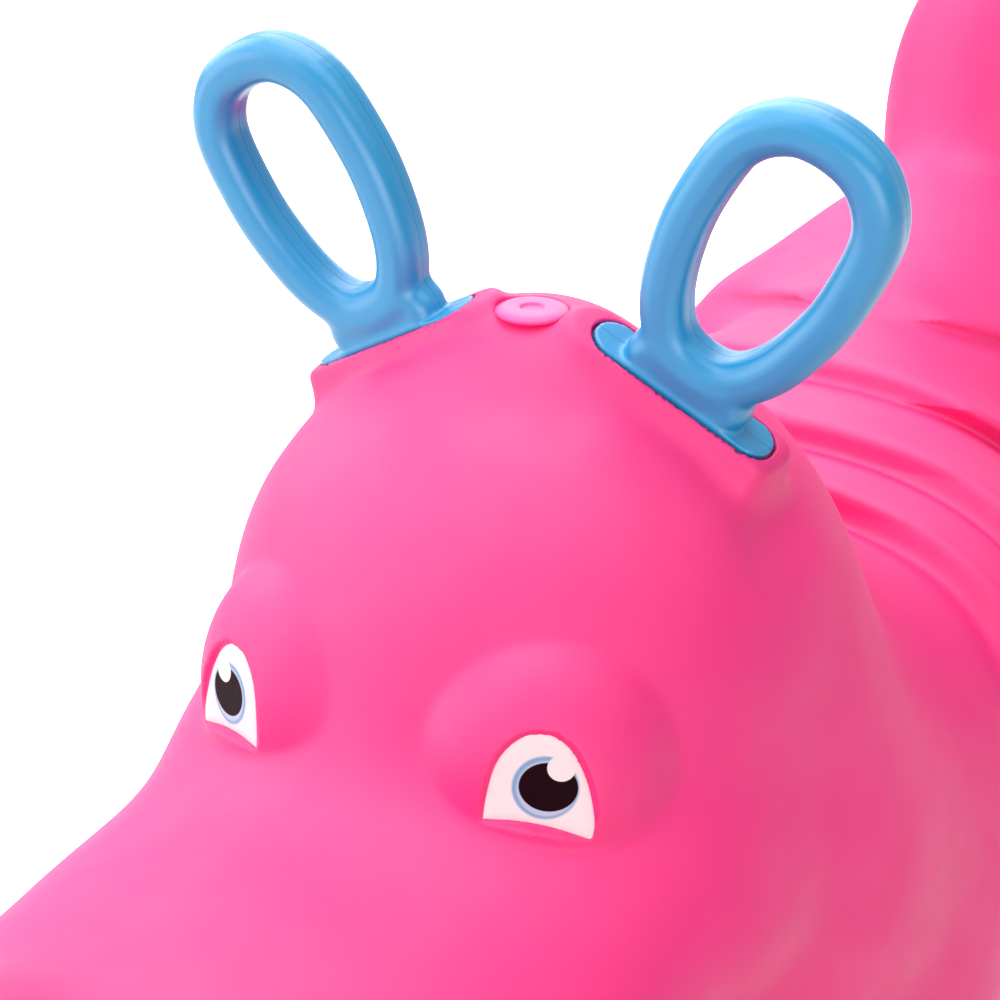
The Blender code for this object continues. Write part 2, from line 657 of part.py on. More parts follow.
for side, sign, turn in EAR_SIDES:
    at = HERE + np.array([sign * EAR_SPREAD, 0, 0])
    name = "pocket_cutter_" + side
    carve(shell, place(name, prism(name, pocket, pocket_floor, 0.030, "Z"), at=at, turn=turn, cutter=True))
    name = "slot_cutter_" + side
    carve(shell, place(name, prism(name, slot, -0.024, pocket_floor + 0.001, "Z"), at=at, turn=turn, cutter=True))
    name = "barb_room_cutter_" + side
    face = pocket_floor - WALL + LOCAL_THINNING
    carve(shell, place(name, prism(name, barb_room, -0.023, face, "Z"), at=at, turn=turn, cutter=True))

# Holes of the two plugs, each with a shallow seat for the flange


def plug_hole(name, flange, stem, at, turn):
    seat_radius = flange / 2 + FIT_GAP
    hole_radius = stem / 2 + FIT_GAP
    inner_face = -PLUG_SEAT_DEPTH - WALL + LOCAL_THINNING
    room = hole_radius + 0.0018
    data = lathe(name, [(0, -0.030), (room, -0.030), (room, inner_face), (hole_radius, inner_face),
                        (hole_radius, -PLUG_SEAT_DEPTH), (seat_radius, -PLUG_SEAT_DEPTH),
                        (seat_radius, 0.010), (0, 0.010)], 24)
    carve(shell, place(name, data, at=at, turn=turn, cutter=True))


crown = HERE + np.array([0, CROWN_PLUG_PLACE, CROWN_TOP])
plug_hole("crown_hole_cutter", CROWN_PLUG_WIDTH, CROWN_PLUG_STEM, crown, None)
belly = HERE + np.array([0, BELLY_PLUG_PLACE, BELLY_BOTTOM])
face_down = Matrix.Rotation(math.pi, 3, "X")
plug_hole("belly_hole_cutter", BELLY_PLUG_WIDTH, BELLY_PLUG_STEM, belly, face_down)


def closed_curve(knots, steps):
    """A smooth closed line through the given points."""
    knots = np.array(knots)
    out = []
    count = len(knots)
    t = np.linspace(0, 1, steps, endpoint=False)[:, None]
    for i in range(count):
        p0, p1, p2, p3 = knots[i - 1], knots[i], knots[(i + 1) % count], knots[(i + 2) % count]
        out.append(0.5 * (2 * p1 + (p2 - p0) * t + (2 * p0 - 5 * p1 + 4 * p2 - p3) * t ** 2
                          + (3 * p1 - p0 - 3 * p2 + p3) * t ** 3))
    return np.concatenate(out)


# Ear loop

def loop_line():
    """The middle line of the grip, an egg with its narrow end down."""
    tall = LOOP_HEIGHT - GRIP_WIDTH / 2
    wide = (LOOP_WIDTH - GRIP_WIDTH) / 2
    side = [(0.0, 0.10), (0.44, 0.135), (0.76, 0.255), (0.95, 0.44), (1.0, 0.62), (0.90, 0.84), (0.52, 0.965)]
    knots = [(wide * a, tall * b) for a, b in side] + [(0.0, tall)]
    return closed_curve(knots + [(-a, b) for a, b in knots[-2:0:-1]], 6)


LOOP = loop_line()


def to_line(p, line, closed=True):
    ends = np.roll(line, -1, 0) if closed else line[1:]
    best = None
    for a, b in zip(line, ends):
        d = b - a
        t = np.clip(((p - a) @ d) / (d @ d), 0, 1)
        gap = ((p - a - t[:, None] * d) ** 2).sum(-1)
        best = gap if best is None else np.minimum(best, gap)
    return np.sqrt(best + 1e-12)


def bar(reach, v, half_width, half_depth, edge):
    """The section of the grip: two rounded halves with a flat band where they meet."""
    a = reach - (half_width - edge)
    b = np.abs(v) - (half_depth - edge)
    return np.hypot(np.maximum(a, 0), np.maximum(b, 0)) + np.minimum(np.maximum(a, b), 0) - edge


def loop(p, less=0.0):
    reach = to_line(p[:, (0, 2)], LOOP)
    return bar(reach, p[:, 1], GRIP_WIDTH / 2 - less, GRIP_DEPTH / 2 - less, 0.0061 - less)


def ear(p):
    u, v, w = p.T
    foot = to_line(p[:, (0, 2)], np.array([(-0.0125, 0.0040), (0.0125, 0.0040)]), closed=False)
    web = bar(foot, v, 0.0085, GRIP_DEPTH / 2 - 0.0006, 0.0061)
    shape = join(loop(p), web, 0.006)
    length = (PLATE_LENGTH - PLATE_WIDTH) / 2
    plate = np.sqrt(np.maximum(np.abs(u) - length, 0) ** 2 + v ** 2 + 1e-10) - PLATE_WIDTH / 2
    plate = keep(plate, np.abs(w + PLATE_DEPTH / 2) - PLATE_DEPTH / 2, 0.0012)
    shape = join(shape, plate, 0.0035)
    return keep(shape, -w - PLATE_DEPTH, 0.0012)


SCREWS = (("upper", 0.0, LOOP_HEIGHT - GRIP_WIDTH / 2), ("outer", 0.0195, 0.0285), ("inner", -0.0195, 0.0285))


def hollow(p):
    """The space in the two sides of the grip, left full where the screws go."""
    u, v, w = p.T
    shape = keep(loop(p, EAR_WALL), -(w - 0.022), 0.002)
    for _, a, b in SCREWS:
        shape = keep(shape, -(np.hypot(u - a, w - b) - SCREW_BOSS / 2), 0.0015)
    return shape


half_length = PLATE_LENGTH / 2 + 0.004
points, faces = grid_skin(ear, (0, -0.013, -0.008), (0.037, 0.013, LOOP_HEIGHT + 0.005), EAR_STEP, True)
ear_data = reset(lighten(mesh_from("ear", points, faces), EAR_FACES), ear, 0.0006)
points, faces = grid_skin(hollow, (0, -0.013, 0.0), (0.037, 0.013, LOOP_HEIGHT + 0.005), EAR_STEP, True)
hollow_data = reset(lighten(mesh_from("hollow", points, faces), HOLLOW_FACES), hollow, 0.0006)

reach = TONGUE_LENGTH / 2
lock = pocket_floor - WALL - FIT_GAP
tongue = [(-reach, -PLATE_DEPTH + 0.001), (-reach, lock), (-reach - BARB, lock), (-reach + 0.003, -TONGUE_DEPTH),
          (reach - 0.003, -TONGUE_DEPTH), (reach + BARB, lock), (reach, lock), (reach, -PLATE_DEPTH + 0.001)]
box = [(-0.06, -0.03), (0.06, -0.03), (0.06, 0.12), (-0.06, 0.12)]
rear = GRIP_DEPTH / 2
ahead = Matrix.Rotation(math.radians(-90), 3, "X")


def screw_cut(name, holes):
    """The holes of the three screws of one ear half as one cutter, each turned about the way through the grip."""
    work = bmesh.new()
    for _, a, b in SCREWS:
        outline = [(0, holes[0][1])] + list(holes) + [(0, holes[-1][1])]
        single = lathe("single", outline, 16)
        single.transform(Matrix.Translation((a, 0, b)) @ ahead.to_4x4())
        work.from_mesh(single)
        bpy.data.meshes.remove(single)
    data = bpy.data.meshes.new(name)
    work.to_mesh(data)
    work.free()
    return data


# Heights along the screw are told from the joint of the halves toward the rear
through = SCREW_SHANK / 2 + FIT_GAP
wide = SCREW_HEAD / 2 + FIT_GAP
rear_holes = [(through, -0.004), (through, rear - SCREW_RECESS), (wide, rear - SCREW_RECESS), (wide, rear + 0.004)]
front_holes = [(through, -0.0056), (through, 0.004)]
for side, sign, turn in EAR_SIDES:
    at = HERE + np.array([sign * EAR_SPREAD, 0, 0])
    pieces = {}
    sources = (("skin", ear_data), ("hollow", hollow_data),
               ("tongue", prism("tongue", tongue, -TONGUE_WIDTH / 2, TONGUE_WIDTH / 2, "Y")))
    for key, data in sources:
        pieces[key] = data.copy() if sign > 0 else mirrored(data, key)
    tongue_cut = place("tongue_form_" + side, pieces["tongue"], at=at, turn=turn, cutter=True)
    hollow_cut = place("hollow_cutter_" + side, pieces["hollow"], at=at, turn=turn, cutter=True)
    halves = (("front", -0.03, -FIT_GAP / 2, front_holes), ("rear", FIT_GAP / 2, 0.03, rear_holes))
    for half, low, high, holes in halves:
        piece = place("ear_" + side + "_" + half, pieces["skin"].copy(), blue, at, turn)
        carve(piece, tongue_cut, "UNION")
        name = "half_form_" + side + "_" + half
        carve(piece, place(name, prism(name, box, low, high, "Y"), at=at, turn=turn, cutter=True), "INTERSECT")
        carve(piece, hollow_cut)
        name = "screw_cutter_" + side + "_" + half
        carve(piece, place(name, screw_cut(name, holes), at=at, turn=turn, cutter=True))
    tip = -0.0048
    head_low = rear - SCREW_RECESS + FIT_GAP
    for spot, a, b in SCREWS:
        outline = [(0, tip), (SCREW_SHANK * 0.2, tip), (SCREW_SHANK / 2, tip + 0.0018),
                   (SCREW_SHANK / 2, head_low), (SCREW_HEAD / 2, head_low),
                   (SCREW_HEAD / 2, head_low + SCREW_HEAD_DEPTH * 0.55),
                   (SCREW_HEAD * 0.34, head_low + SCREW_HEAD_DEPTH * 0.9), (0, head_low + SCREW_HEAD_DEPTH)]
        data = lathe("screw", outline, 10)
        data.transform(ahead.to_4x4())
        offset = turn @ Vector((sign * a, 0, b))
        place("screw_" + side + "_" + spot, data, steel, at + np.array(offset), turn)


# Plugs: a thin flange, a hollow stem, and a lip that snaps under the wall

def plug(flange, stem, thick, wall, dish):
    r = flange / 2
    s = stem / 2
    under = -wall - 3 * FIT_GAP
    outline = [(0, thick - dish), (r * 0.28, thick - dish), (r * 0.34, thick), (r * 0.86, thick), (r, thick * 0.45),
               (r, 0), (s, 0), (s, under), (s + 0.0011, under), (s + 0.0011, under - 0.0012),
               (s - 0.0008, under - 0.0048), (s - 0.0022, under - 0.0048), (s - 0.0022, -0.0008), (0, -0.0008)]
    return [(a, b) for a, b in outline[::-1]]


data = lathe("crown_plug", plug(CROWN_PLUG_WIDTH, CROWN_PLUG_STEM, 0.0017, WALL + 0.0002, 0.0007), 22)
sunk = PLUG_SEAT_DEPTH - FIT_GAP
place("crown_plug", data, plug_pink, crown - np.array([0, 0, sunk]))
data = lathe("belly_plug", plug(BELLY_PLUG_WIDTH, BELLY_PLUG_STEM, 0.0020, WALL + 0.0002, 0.0007), 22)
place("belly_plug", data, plug_pink, belly + np.array([0, 0, sunk]), face_down)


# Eye labels, each lying flat in a shallow recess of its eye dome

def label_outline(grow=0.0):
    """An arch whose lower edge is slightly hollow and runs down toward the outer side."""
    side = [(-0.03, 0.58), (-0.27, 0.55), (-0.55, 0.44), (-0.78, 0.25), (-0.92, -0.03), (-0.97, -0.23),
            (-0.92, -0.25), (-0.42, -0.26), (-0, -0.29), (0.41, -0.34), (0.77, -0.4), (0.9, -0.42),
            (0.97, -0.42), (1.01, -0.36), (1.02, -0.23), (0.95, -0.01), (0.82, 0.21), (0.59, 0.43),
            (0.28, 0.56)]
    spots = closed_curve([(a * LABEL_WIDTH / 2, b * LABEL_HEIGHT) for a, b in side], 3)
    if not grow:
        return [tuple(spot) for spot in spots]
    along = np.roll(spots, -1, 0) - np.roll(spots, 1, 0)
    along = along / np.linalg.norm(along, axis=1)[:, None]
    return [(a + grow * d[1], b - grow * d[0]) for (a, b), d in zip(spots, along)]


for side, sign in (("left", 1), ("right", -1)):
    facing = Vector((sign * LABEL_FACING[0], LABEL_FACING[1], LABEL_FACING[2])).normalized()
    across = Vector((0, 0, 1)).cross(facing).normalized()
    turn = Matrix((across, facing.cross(across), facing)).transposed()
    at = HERE + np.array([sign * LABEL_CENTRE[0], LABEL_CENTRE[1], LABEL_CENTRE[2]])
    film = prism("eye_label_" + side, label_outline(), -RECESS_DEPTH + FIT_GAP,
                 -RECESS_DEPTH + FIT_GAP + LABEL_THICKNESS, "Z")
    form = prism("label_cutter_" + side, label_outline(LABEL_MARGIN), -RECESS_DEPTH, 0.030, "Z")
    if sign < 0:
        film = mirrored(film, film.name + "_mirrored")
        form = mirrored(form, form.name + "_mirrored")
    carve(shell, place("label_cutter_" + side, form, at=at, turn=turn, cutter=True))
    place("eye_label_" + side, film, label, at, turn)
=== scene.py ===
import json
import math
import bpy
import bmesh
import numpy as np
from mathutils import Matrix, Vector

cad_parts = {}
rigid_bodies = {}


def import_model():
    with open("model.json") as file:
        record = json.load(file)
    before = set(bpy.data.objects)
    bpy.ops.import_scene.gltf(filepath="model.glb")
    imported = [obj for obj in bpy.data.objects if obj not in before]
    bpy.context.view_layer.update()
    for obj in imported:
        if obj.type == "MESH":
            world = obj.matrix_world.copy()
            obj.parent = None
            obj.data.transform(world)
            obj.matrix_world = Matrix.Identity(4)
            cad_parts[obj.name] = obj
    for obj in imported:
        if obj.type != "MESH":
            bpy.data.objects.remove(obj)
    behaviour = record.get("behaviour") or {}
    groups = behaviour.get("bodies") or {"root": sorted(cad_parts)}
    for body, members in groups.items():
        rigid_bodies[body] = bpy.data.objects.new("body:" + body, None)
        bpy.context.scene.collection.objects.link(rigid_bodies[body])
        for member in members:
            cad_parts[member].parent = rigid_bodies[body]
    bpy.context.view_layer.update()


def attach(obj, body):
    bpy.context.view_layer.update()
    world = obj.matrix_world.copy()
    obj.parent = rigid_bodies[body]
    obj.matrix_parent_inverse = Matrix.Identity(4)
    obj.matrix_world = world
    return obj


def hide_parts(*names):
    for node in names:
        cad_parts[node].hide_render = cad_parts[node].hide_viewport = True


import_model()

# Where the ear line is over the floor and ahead of the middle of the toy, metres
HERE = np.array([0.0, -0.1456, 0.355])
FLOOR = -0.355


# Smooth shapes told by their distance, negative inside

def egg(p, centre, radii, lean=0.0):
    """An egg, leaned back by so many degrees."""
    q = p - np.array(centre)
    if lean:
        c = math.cos(math.radians(lean))
        s = math.sin(math.radians(lean))
        q = np.stack([q[:, 0], q[:, 1] * c + q[:, 2] * s, q[:, 2] * c - q[:, 1] * s], -1)
    a = 1 / np.array(radii)
    q = q * a
    near = np.sqrt(np.einsum("ij,ij->i", q, q) + 1e-12)
    q = q * a
    far = np.sqrt(np.einsum("ij,ij->i", q, q) + 1e-12)
    return near * (near - 1) / far


def limb(p, start, end, start_radius, end_radius):
    """A rounded rod that tapers from its start to its end."""
    a = np.array(start)
    d = np.array(end) - a
    t = np.clip(((p - a) @ d) / (d @ d), 0, 1)
    off = (p - a) - t[:, None] * d
    return np.sqrt((off ** 2).sum(-1) + 1e-12) - (start_radius + (end_radius - start_radius) * t)


def join(a, b, blend):
    """Two shapes as one, with a soft crease of the given reach."""
    h = np.maximum(blend - np.abs(a - b), 0) / blend
    return np.minimum(a, b) - h * h * h * blend / 6


def keep(a, b, blend):
    """What two shapes share, with a soft edge."""
    return -join(-a, -b, blend)


def profile(points, soft):
    """A smooth line through (place, value) points."""
    pairs = np.array(points, float)
    at = np.linspace(pairs[0, 0] - 0.05, pairs[-1, 0] + 0.05, 1600)
    value = np.interp(at, pairs[:, 0], pairs[:, 1])
    spread = soft / (at[1] - at[0])
    reach = int(3 * spread)
    bell = np.exp(-0.5 * (np.arange(-reach, reach + 1) / spread) ** 2)
    value = np.convolve(np.pad(value, reach, mode="edge"), bell / bell.sum(), "valid")
    return lambda q: np.interp(q, at, value)


def to_line(a, b, line, closed=True):
    """Distance in a plane from a line through points."""
    best = np.full(a.shape, 1e9)
    ends = np.roll(line, -1, 0) if closed else line[1:]
    for (x0, y0), (x1, y1) in zip(line, ends):
        dx, dy = x1 - x0, y1 - y0
        t = np.clip(((a - x0) * dx + (b - y0) * dy) / (dx * dx + dy * dy), 0, 1)
        best = np.minimum(best, (a - x0 - t * dx) ** 2 + (b - y0 - t * dy) ** 2)
    return np.sqrt(best + 1e-12)


def outline_distance(a, b, line):
    """Distance in a plane from a closed outline, negative inside."""
    inside = np.zeros(a.shape, bool)
    for (x0, y0), (x1, y1) in zip(line, np.roll(line, -1, 0)):
        dx, dy = x1 - x0, y1 - y0
        crosses = (y0 > b) != (y1 > b)
        inside ^= crosses & (a < x0 + dx * (b - y0) / (dy if dy else 1e-12))
    return np.where(inside, -1, 1) * to_line(a, b, line)


def curve_through(knots, closed, steps):
    """Points along a smooth curve through the knots."""
    k = np.array(knots, float)
    count = len(k)
    t = np.linspace(0, 1, steps, endpoint=False)[:, None]
    out = []
    for i in range(count if closed else count - 1):
        if closed:
            p0, p1, p2, p3 = k[i - 1], k[i], k[(i + 1) % count], k[(i + 2) % count]
        else:
            p0, p1, p2, p3 = k[max(i - 1, 0)], k[i], k[i + 1], k[min(i + 2, count - 1)]
        out.append(0.5 * (2 * p1 + (p2 - p0) * t + (2 * p0 - 5 * p1 + 4 * p2 - p3) * t ** 2
                          + (3 * p1 - p0 - 3 * p2 + p3) * t ** 3))
    out = np.concatenate(out)
    return out if closed else np.concatenate([out, k[-1:]])


# Half width, top, belly and squareness of the trunk along the back
TRUNK_HALF = profile([(0, 0.055), (0.04, 0.065), (0.09, 0.105), (0.14, 0.130), (0.2, 0.130), (0.25, 0.115),
                      (0.30, 0.100), (0.36, 0.098), (0.42, 0.096), (0.48, 0.086)], 0.016)
TRUNK_TOP = profile([(0, -0.060), (0.055, -0.077), (0.10, -0.096), (0.14, -0.102), (0.18, -0.102),
                     (0.23, -0.101), (0.295, -0.096), (0.36, -0.092), (0.41, -0.080), (0.46, -0.062)], 0.012)
TRUNK_BELLY = profile([(0, -0.220), (0.1, -0.245), (0.18, -0.250), (0.3, -0.250), (0.5, -0.235)], 0.02)
TRUNK_SQUARE = profile([(0, 2.4), (0.1, 2.7), (0.24, 2.7), (0.31, 2.0), (0.45, 2.0)], 0.02)
# Place, height, lean to the rear and softness of each seat fold
FOLDS = ((0.1445, 0.0115, -0.2, 0.0030), (0.1945, 0.0100, -0.3, 0.0030),
         (0.2555, 0.0085, 0.7, 0.0030), (0.3350, 0.0060, 1.7, 0.0048))


def seat_folds(y, drop, lift):
    """Height of the stepped folds across the seat."""
    height = np.zeros_like(y)
    for place, tall, lean, edge in FOLDS:
        d = y - place - lean * drop + 0.7 * lift
        front = 1 / (1 + np.exp(-np.clip(d / edge, -40, 40)))
        crease = 0.3 * np.exp(-((d + 2.6 * edge) / (2.2 * edge)) ** 2)
        height += tall * (front * np.exp(-np.maximum(d, 0) / 0.045) - crease)
    return height


def trunk(p):
    """The barrel of the body from the neck to the rump."""
    x, y, z = p.T
    half, top, belly, square = TRUNK_HALF(y), TRUNK_TOP(y), TRUNK_BELLY(y), TRUNK_SQUARE(y)
    middle = top - 0.62 * (top - belly)
    upper = top - middle
    height = np.where(z > middle, upper, middle - belly)
    k = ((np.abs(x) / half) ** square + (np.abs(z - middle) / height) ** square + 1e-9) ** (1 / square)
    return keep((k - 1) * np.minimum(half, upper) * 0.9, np.maximum(-y, y - 0.47), 0.045)


def turned(ahead, out):
    """The turn that leans an ear out to the side and then ahead."""
    a, b = math.cos(ahead), math.sin(ahead)
    c, d = math.cos(out), math.sin(out)
    return np.array([[1, 0, 0], [0, a, -b], [0, b, a]]) @ np.array([[c, 0, d], [0, 1, 0], [-d, 0, c]])


EAR_SPREAD = 0.0495
EAR_AHEAD = math.radians(6.5)
EAR_OUT = math.radians(28.6)
TO_EAR = turned(EAR_AHEAD, EAR_OUT)
PLATE_LENGTH = 0.063
PLATE_WIDTH = 0.0160
PLATE_DEPTH = 0.0030

# The eye label's plane and its outline there, metres
LABEL_CENTRE = np.array([0.0507, -0.0949, -0.0858])
LABEL_FACING = np.array([0.4312, -0.8890, 0.1544])
LABEL_FACING /= np.linalg.norm(LABEL_FACING)
LABEL_SIDE = np.cross((0, 0, 1), LABEL_FACING)
LABEL_SIDE /= np.linalg.norm(LABEL_SIDE)
LABEL_UP = np.cross(LABEL_FACING, LABEL_SIDE)
LABEL_ARCH = [(-0.03, 0.58), (-0.27, 0.55), (-0.55, 0.44), (-0.78, 0.25), (-0.92, -0.03), (-0.97, -0.23),
              (-0.92, -0.25), (-0.42, -0.26), (-0, -0.29), (0.41, -0.34), (0.77, -0.4), (0.9, -0.42),
              (0.97, -0.42), (1.01, -0.36), (1.02, -0.23), (0.95, -0.01), (0.82, 0.21), (0.59, 0.43),
              (0.28, 0.56)]
LABEL_WIDTH = 0.0308
LABEL_HEIGHT = 0.0308
LABEL_LINE = curve_through([(LABEL_WIDTH / 2 * a, LABEL_HEIGHT * b) for a, b in LABEL_ARCH], True, 5)
# How far a base plane lies under the label's plane, and the film's heights over that base
FILM_BASE = 0.0008
FILM_TOP = 0.0007
FILM_EDGE_TOP = 0.0005
FILM_UNDER = 0.00005


def eye(p, shape):
    """The domed eye bulge with the flat under the label, which runs out into the dome round it."""
    off = p - np.array([0.0369, -0.0650, -0.0931])
    a, b = LABEL_FACING[0], LABEL_FACING[1]
    turn = np.stack([off[:, 1] * a - off[:, 0] * b, off[:, 0] * a + off[:, 1] * b, off[:, 2]], -1)
    shape = join(shape, egg(turn, (0, 0, 0), (0.0412, 0.0370, 0.0467)), 0.003)
    q = p - LABEL_CENTRE
    near = np.einsum("ij,ij->i", q, q) < 0.034 ** 2
    if near.any():
        q = q[near]
        line = outline_distance(q @ LABEL_SIDE, q @ LABEL_UP, LABEL_LINE)
        out = np.maximum(line - 0.0003, 0)
        below = np.clip(-(q @ LABEL_UP + 0.006) / 0.004, 0, 1)
        rise = (0.9 + 1.8 * below) * out + 300 * out ** 2 - 0.0004
        shape[near] = keep(shape[near], (q @ LABEL_FACING - rise) * 0.8, 0.0018)
    return shape


def head(p):
    """Skull, cheeks, snout, mouth, nostrils, eye and ear socket of one side."""
    shape = egg(p, (0, 0.0041, -0.0892), (0.0978, 0.1014, 0.0942))
    shape = join(shape, egg(p, (0, -0.0383, -0.147), (0.1053, 0.0777, 0.0585)), 0.045)
    snout = egg(p, (0, -0.1321, -0.1514), (0.0974, 0.123, 0.049))
    snout = join(snout, egg(p, (0, -0.0533, -0.1315), (0.0566, 0.0379, 0.0166)), 0.050)
    shape = join(shape, snout, 0.050)
    shape = join(shape, egg(p, (0, -0.2114, -0.1438), (0.0866, 0.0625, 0.0358)), 0.045)
    shape = join(shape, egg(p, (0.041, -0.234, -0.116), (0.027, 0.030, 0.023)), 0.027)
    shape = join(shape, egg(p, (0, -0.165, -0.176), (0.067, 0.105, 0.051)), 0.040)
    shape = join(shape, egg(p, (0, -0.204, -0.184), (0.080, 0.060, 0.055)), 0.040)
    shape = keep(shape, -egg(p, (0.044, -0.262, -0.106), (0.0095, 0.008, 0.010)), 0.010)
    mouth = -0.192 + 0.10 * np.clip(-0.11 - p[:, 1], 0, 0.1) ** 1.2
    within = 1 / (1 + np.exp(np.clip((p[:, 1] + 0.135) / 0.008, -40, 40)))
    shape = shape + 0.0050 * np.exp(-((p[:, 2] - mouth) / 0.0055) ** 2) * within
    shape = eye(p, shape)
    shape = join(shape, egg(p, (0, 0.004, -0.010), (0.038, 0.033, 0.0265)), 0.016)
    u, v, w = ((p - np.array([EAR_SPREAD, 0, 0])) @ TO_EAR).T
    straight = (PLATE_LENGTH - PLATE_WIDTH) / 2
    ring = np.sqrt(np.maximum(np.abs(u) - straight - 0.006, 0) ** 2 + v ** 2 + 1e-10)
    ring = ring - (0.0105 - 0.33 * np.clip(w, -0.03, 0.01))
    socket = keep(ring * 0.95, np.abs(w + 0.0155) - 0.0150, 0.0035)
    shape = join(shape, socket, 0.007)
    shape = keep(shape, -egg(p, (0.101, -0.004, -0.030), (0.022, 0.028, 0.017)), 0.016)
    pocket = np.sqrt(np.maximum(np.abs(u) - straight, 0) ** 2 + v ** 2 + 1e-10) - PLATE_WIDTH / 2 - 0.0008
    pocket = keep(pocket, -w - PLATE_DEPTH - 0.0003, 0.0008)
    return keep(shape, -pocket, 0.0012)


RUNNER_RADIUS = 0.750
RUNNER_MIDDLE = 0.200
RUNNER_CENTRE = FLOOR - 0.0015 + RUNNER_RADIUS


def legs(p):
    """The two legs of one side, cut by the arc of the runner."""
    shape = egg(p, (0.079, 0.13, -0.235), (0.068, 0.105, 0.115))
    shape = join(shape, limb(p, (0.092, 0.085, -0.24), (0.104, 0.070, -0.32), 0.046, 0.040), 0.030)
    shape = join(shape, egg(p, (0.077, 0.42, -0.22), (0.066, 0.085, 0.10)), 0.030)
    shape = join(shape, limb(p, (0.092, 0.425, -0.24), (0.104, 0.430, -0.305), 0.050, 0.044), 0.030)
    reach = np.hypot(p[:, 1] - RUNNER_MIDDLE, p[:, 2] - RUNNER_CENTRE)
    return keep(shape, reach - (RUNNER_RADIUS - 0.012), 0.010)


def toes(p):
    """Three toes on each foot."""
    shape = None
    for place in (0.040, 0.394):
        for x, y in ((-0.022, 0.004), (0.002, -0.006), (0.026, 0.004)):
            lift = (place + y - RUNNER_MIDDLE) ** 2 / (2 * RUNNER_RADIUS)
            toe = egg(p, (0.104 + x, place + y, FLOOR + 0.041 + lift), (0.0125, 0.0120, 0.0125))
            shape = toe if shape is None else join(shape, toe, 0.003)
    return shape


def runner(p):
    """The rocker runner with its footrest."""
    x, y, z = p.T
    reach = np.hypot(y - RUNNER_MIDDLE, z - RUNNER_CENTRE)
    across = np.abs(x - 0.110) - 0.019
    deep = np.abs(reach - (RUNNER_RADIUS - 0.019)) - 0.011
    shape = np.hypot(np.maximum(across, 0), np.maximum(deep, 0))
    shape = shape + np.minimum(np.maximum(across, deep), 0) - 0.008
    shape = keep(shape, np.maximum(np.abs(y - RUNNER_MIDDLE) - 0.352, z + 0.15), 0.020)
    return join(shape, egg(p, (0.125, 0.235, FLOOR + 0.030), (0.034, 0.055, 0.016)), 0.020)


# Each plug's place along the toy, height of the skin there and way it faces, the radii of its seat, button
# and stem, and how far its button's underside lies under the skin
PLUGS = {
    "crown_plug": (-0.002, 0.0165, 1, 0.0113, 0.0112, 0.0062, 0.0016),
    "belly_plug": (0.262, -0.250, -1, 0.0173, 0.0171, 0.0119, 0.0013),
}
PLUG_SEAT_DEPTH = 0.0016


def body(p):
    """The whole moulding, both sides alike."""
    q = p.copy()
    q[:, 0] = np.sqrt(q[:, 0] ** 2 + 1e-8)
    shape = join(trunk(q), egg(q, (0, 0.455, -0.172), (0.095, 0.08, 0.088)), 0.040)
    shape = join(shape, egg(q, (0, 0.520, -0.055), (0.0545, 0.047, 0.10), 8), 0.060)
    chest = egg(q, (0, 0.040, -0.182), (0.130, 0.115, 0.115))
    shape = join(shape, join(egg(q, (0, 0.028, -0.1299), (0.1103, 0.062, 0.1021)), chest, 0.030), 0.045)
    side = np.clip((q[:, 2] + 0.215) / 0.085, 0, 1)
    drop = np.clip(TRUNK_TOP(q[:, 1]) - q[:, 2], 0, 0.125)
    folds = seat_folds(q[:, 1], drop, np.clip(shape, -0.004, 0.02))
    shape = shape - folds * side * side * (3 - 2 * side)
    shape = join(shape, legs(q), 0.040)
    shape = join(shape, runner(q), 0.020)
    shape = join(shape, toes(q), 0.006)
    shape = join(shape, limb(q, (0, 0.530, -0.120), (0, 0.560, -0.150), 0.012, 0.009), 0.014)
    shape = join(head(q), shape, 0.035)
    for y, z, sign, seat_radius, *_ in PLUGS.values():
        around = np.hypot(q[:, 0], q[:, 1] - y) - seat_radius
        seat = keep(around, -sign * (q[:, 2] - z) - PLUG_SEAT_DEPTH, 0.0006)
        shape = keep(shape, -seat, 0.0010)
    return keep(shape, FLOOR - q[:, 2], 0.0008)


def slope(field, p, e=0.0003):
    """The slope of a shape's distance at each point."""
    out = np.zeros_like(p)
    for axis in range(3):
        d = np.zeros(3)
        d[axis] = e
        out[:, axis] = (field(p + d) - field(p - d)) / (2 * e)
    return out


def settle(field, p, rounds, limit):
    """Moves points onto a shape, each by no more than the limit in a round."""
    g = slope(field, p)
    g /= np.maximum((g * g).sum(-1), 0.05)[:, None]
    for _ in range(rounds):
        move = -g * field(p)[:, None]
        size = np.linalg.norm(move, axis=1)[:, None]
        p = p + move * np.minimum(1, limit / np.maximum(size, 1e-12))
    return p


def sample(field, axes, band, skip=3):
    """Values on a grid, worked out in full only near the skin."""
    size = [len(a) for a in axes]
    rough_at = [np.append(np.arange(0, n - 1, skip), n - 1) for n in size]
    rough = [a[i] for a, i in zip(axes, rough_at)]
    grid = np.stack(np.meshgrid(*rough, indexing="ij"), -1).reshape(-1, 3)
    coarse = field(grid).reshape([len(a) for a in rough])
    nearest = [np.abs(r[None, :] - a[:, None]).argmin(1) for a, r in zip(axes, rough)]
    level = coarse[np.ix_(*nearest)]
    at = np.argwhere(np.abs(level) < band)
    for n in range(0, len(at), 300000):
        part = at[n:n + 300000]
        p = np.stack([axes[k][part[:, k]] for k in range(3)], -1)
        level[tuple(part.T)] = field(p)
    return level


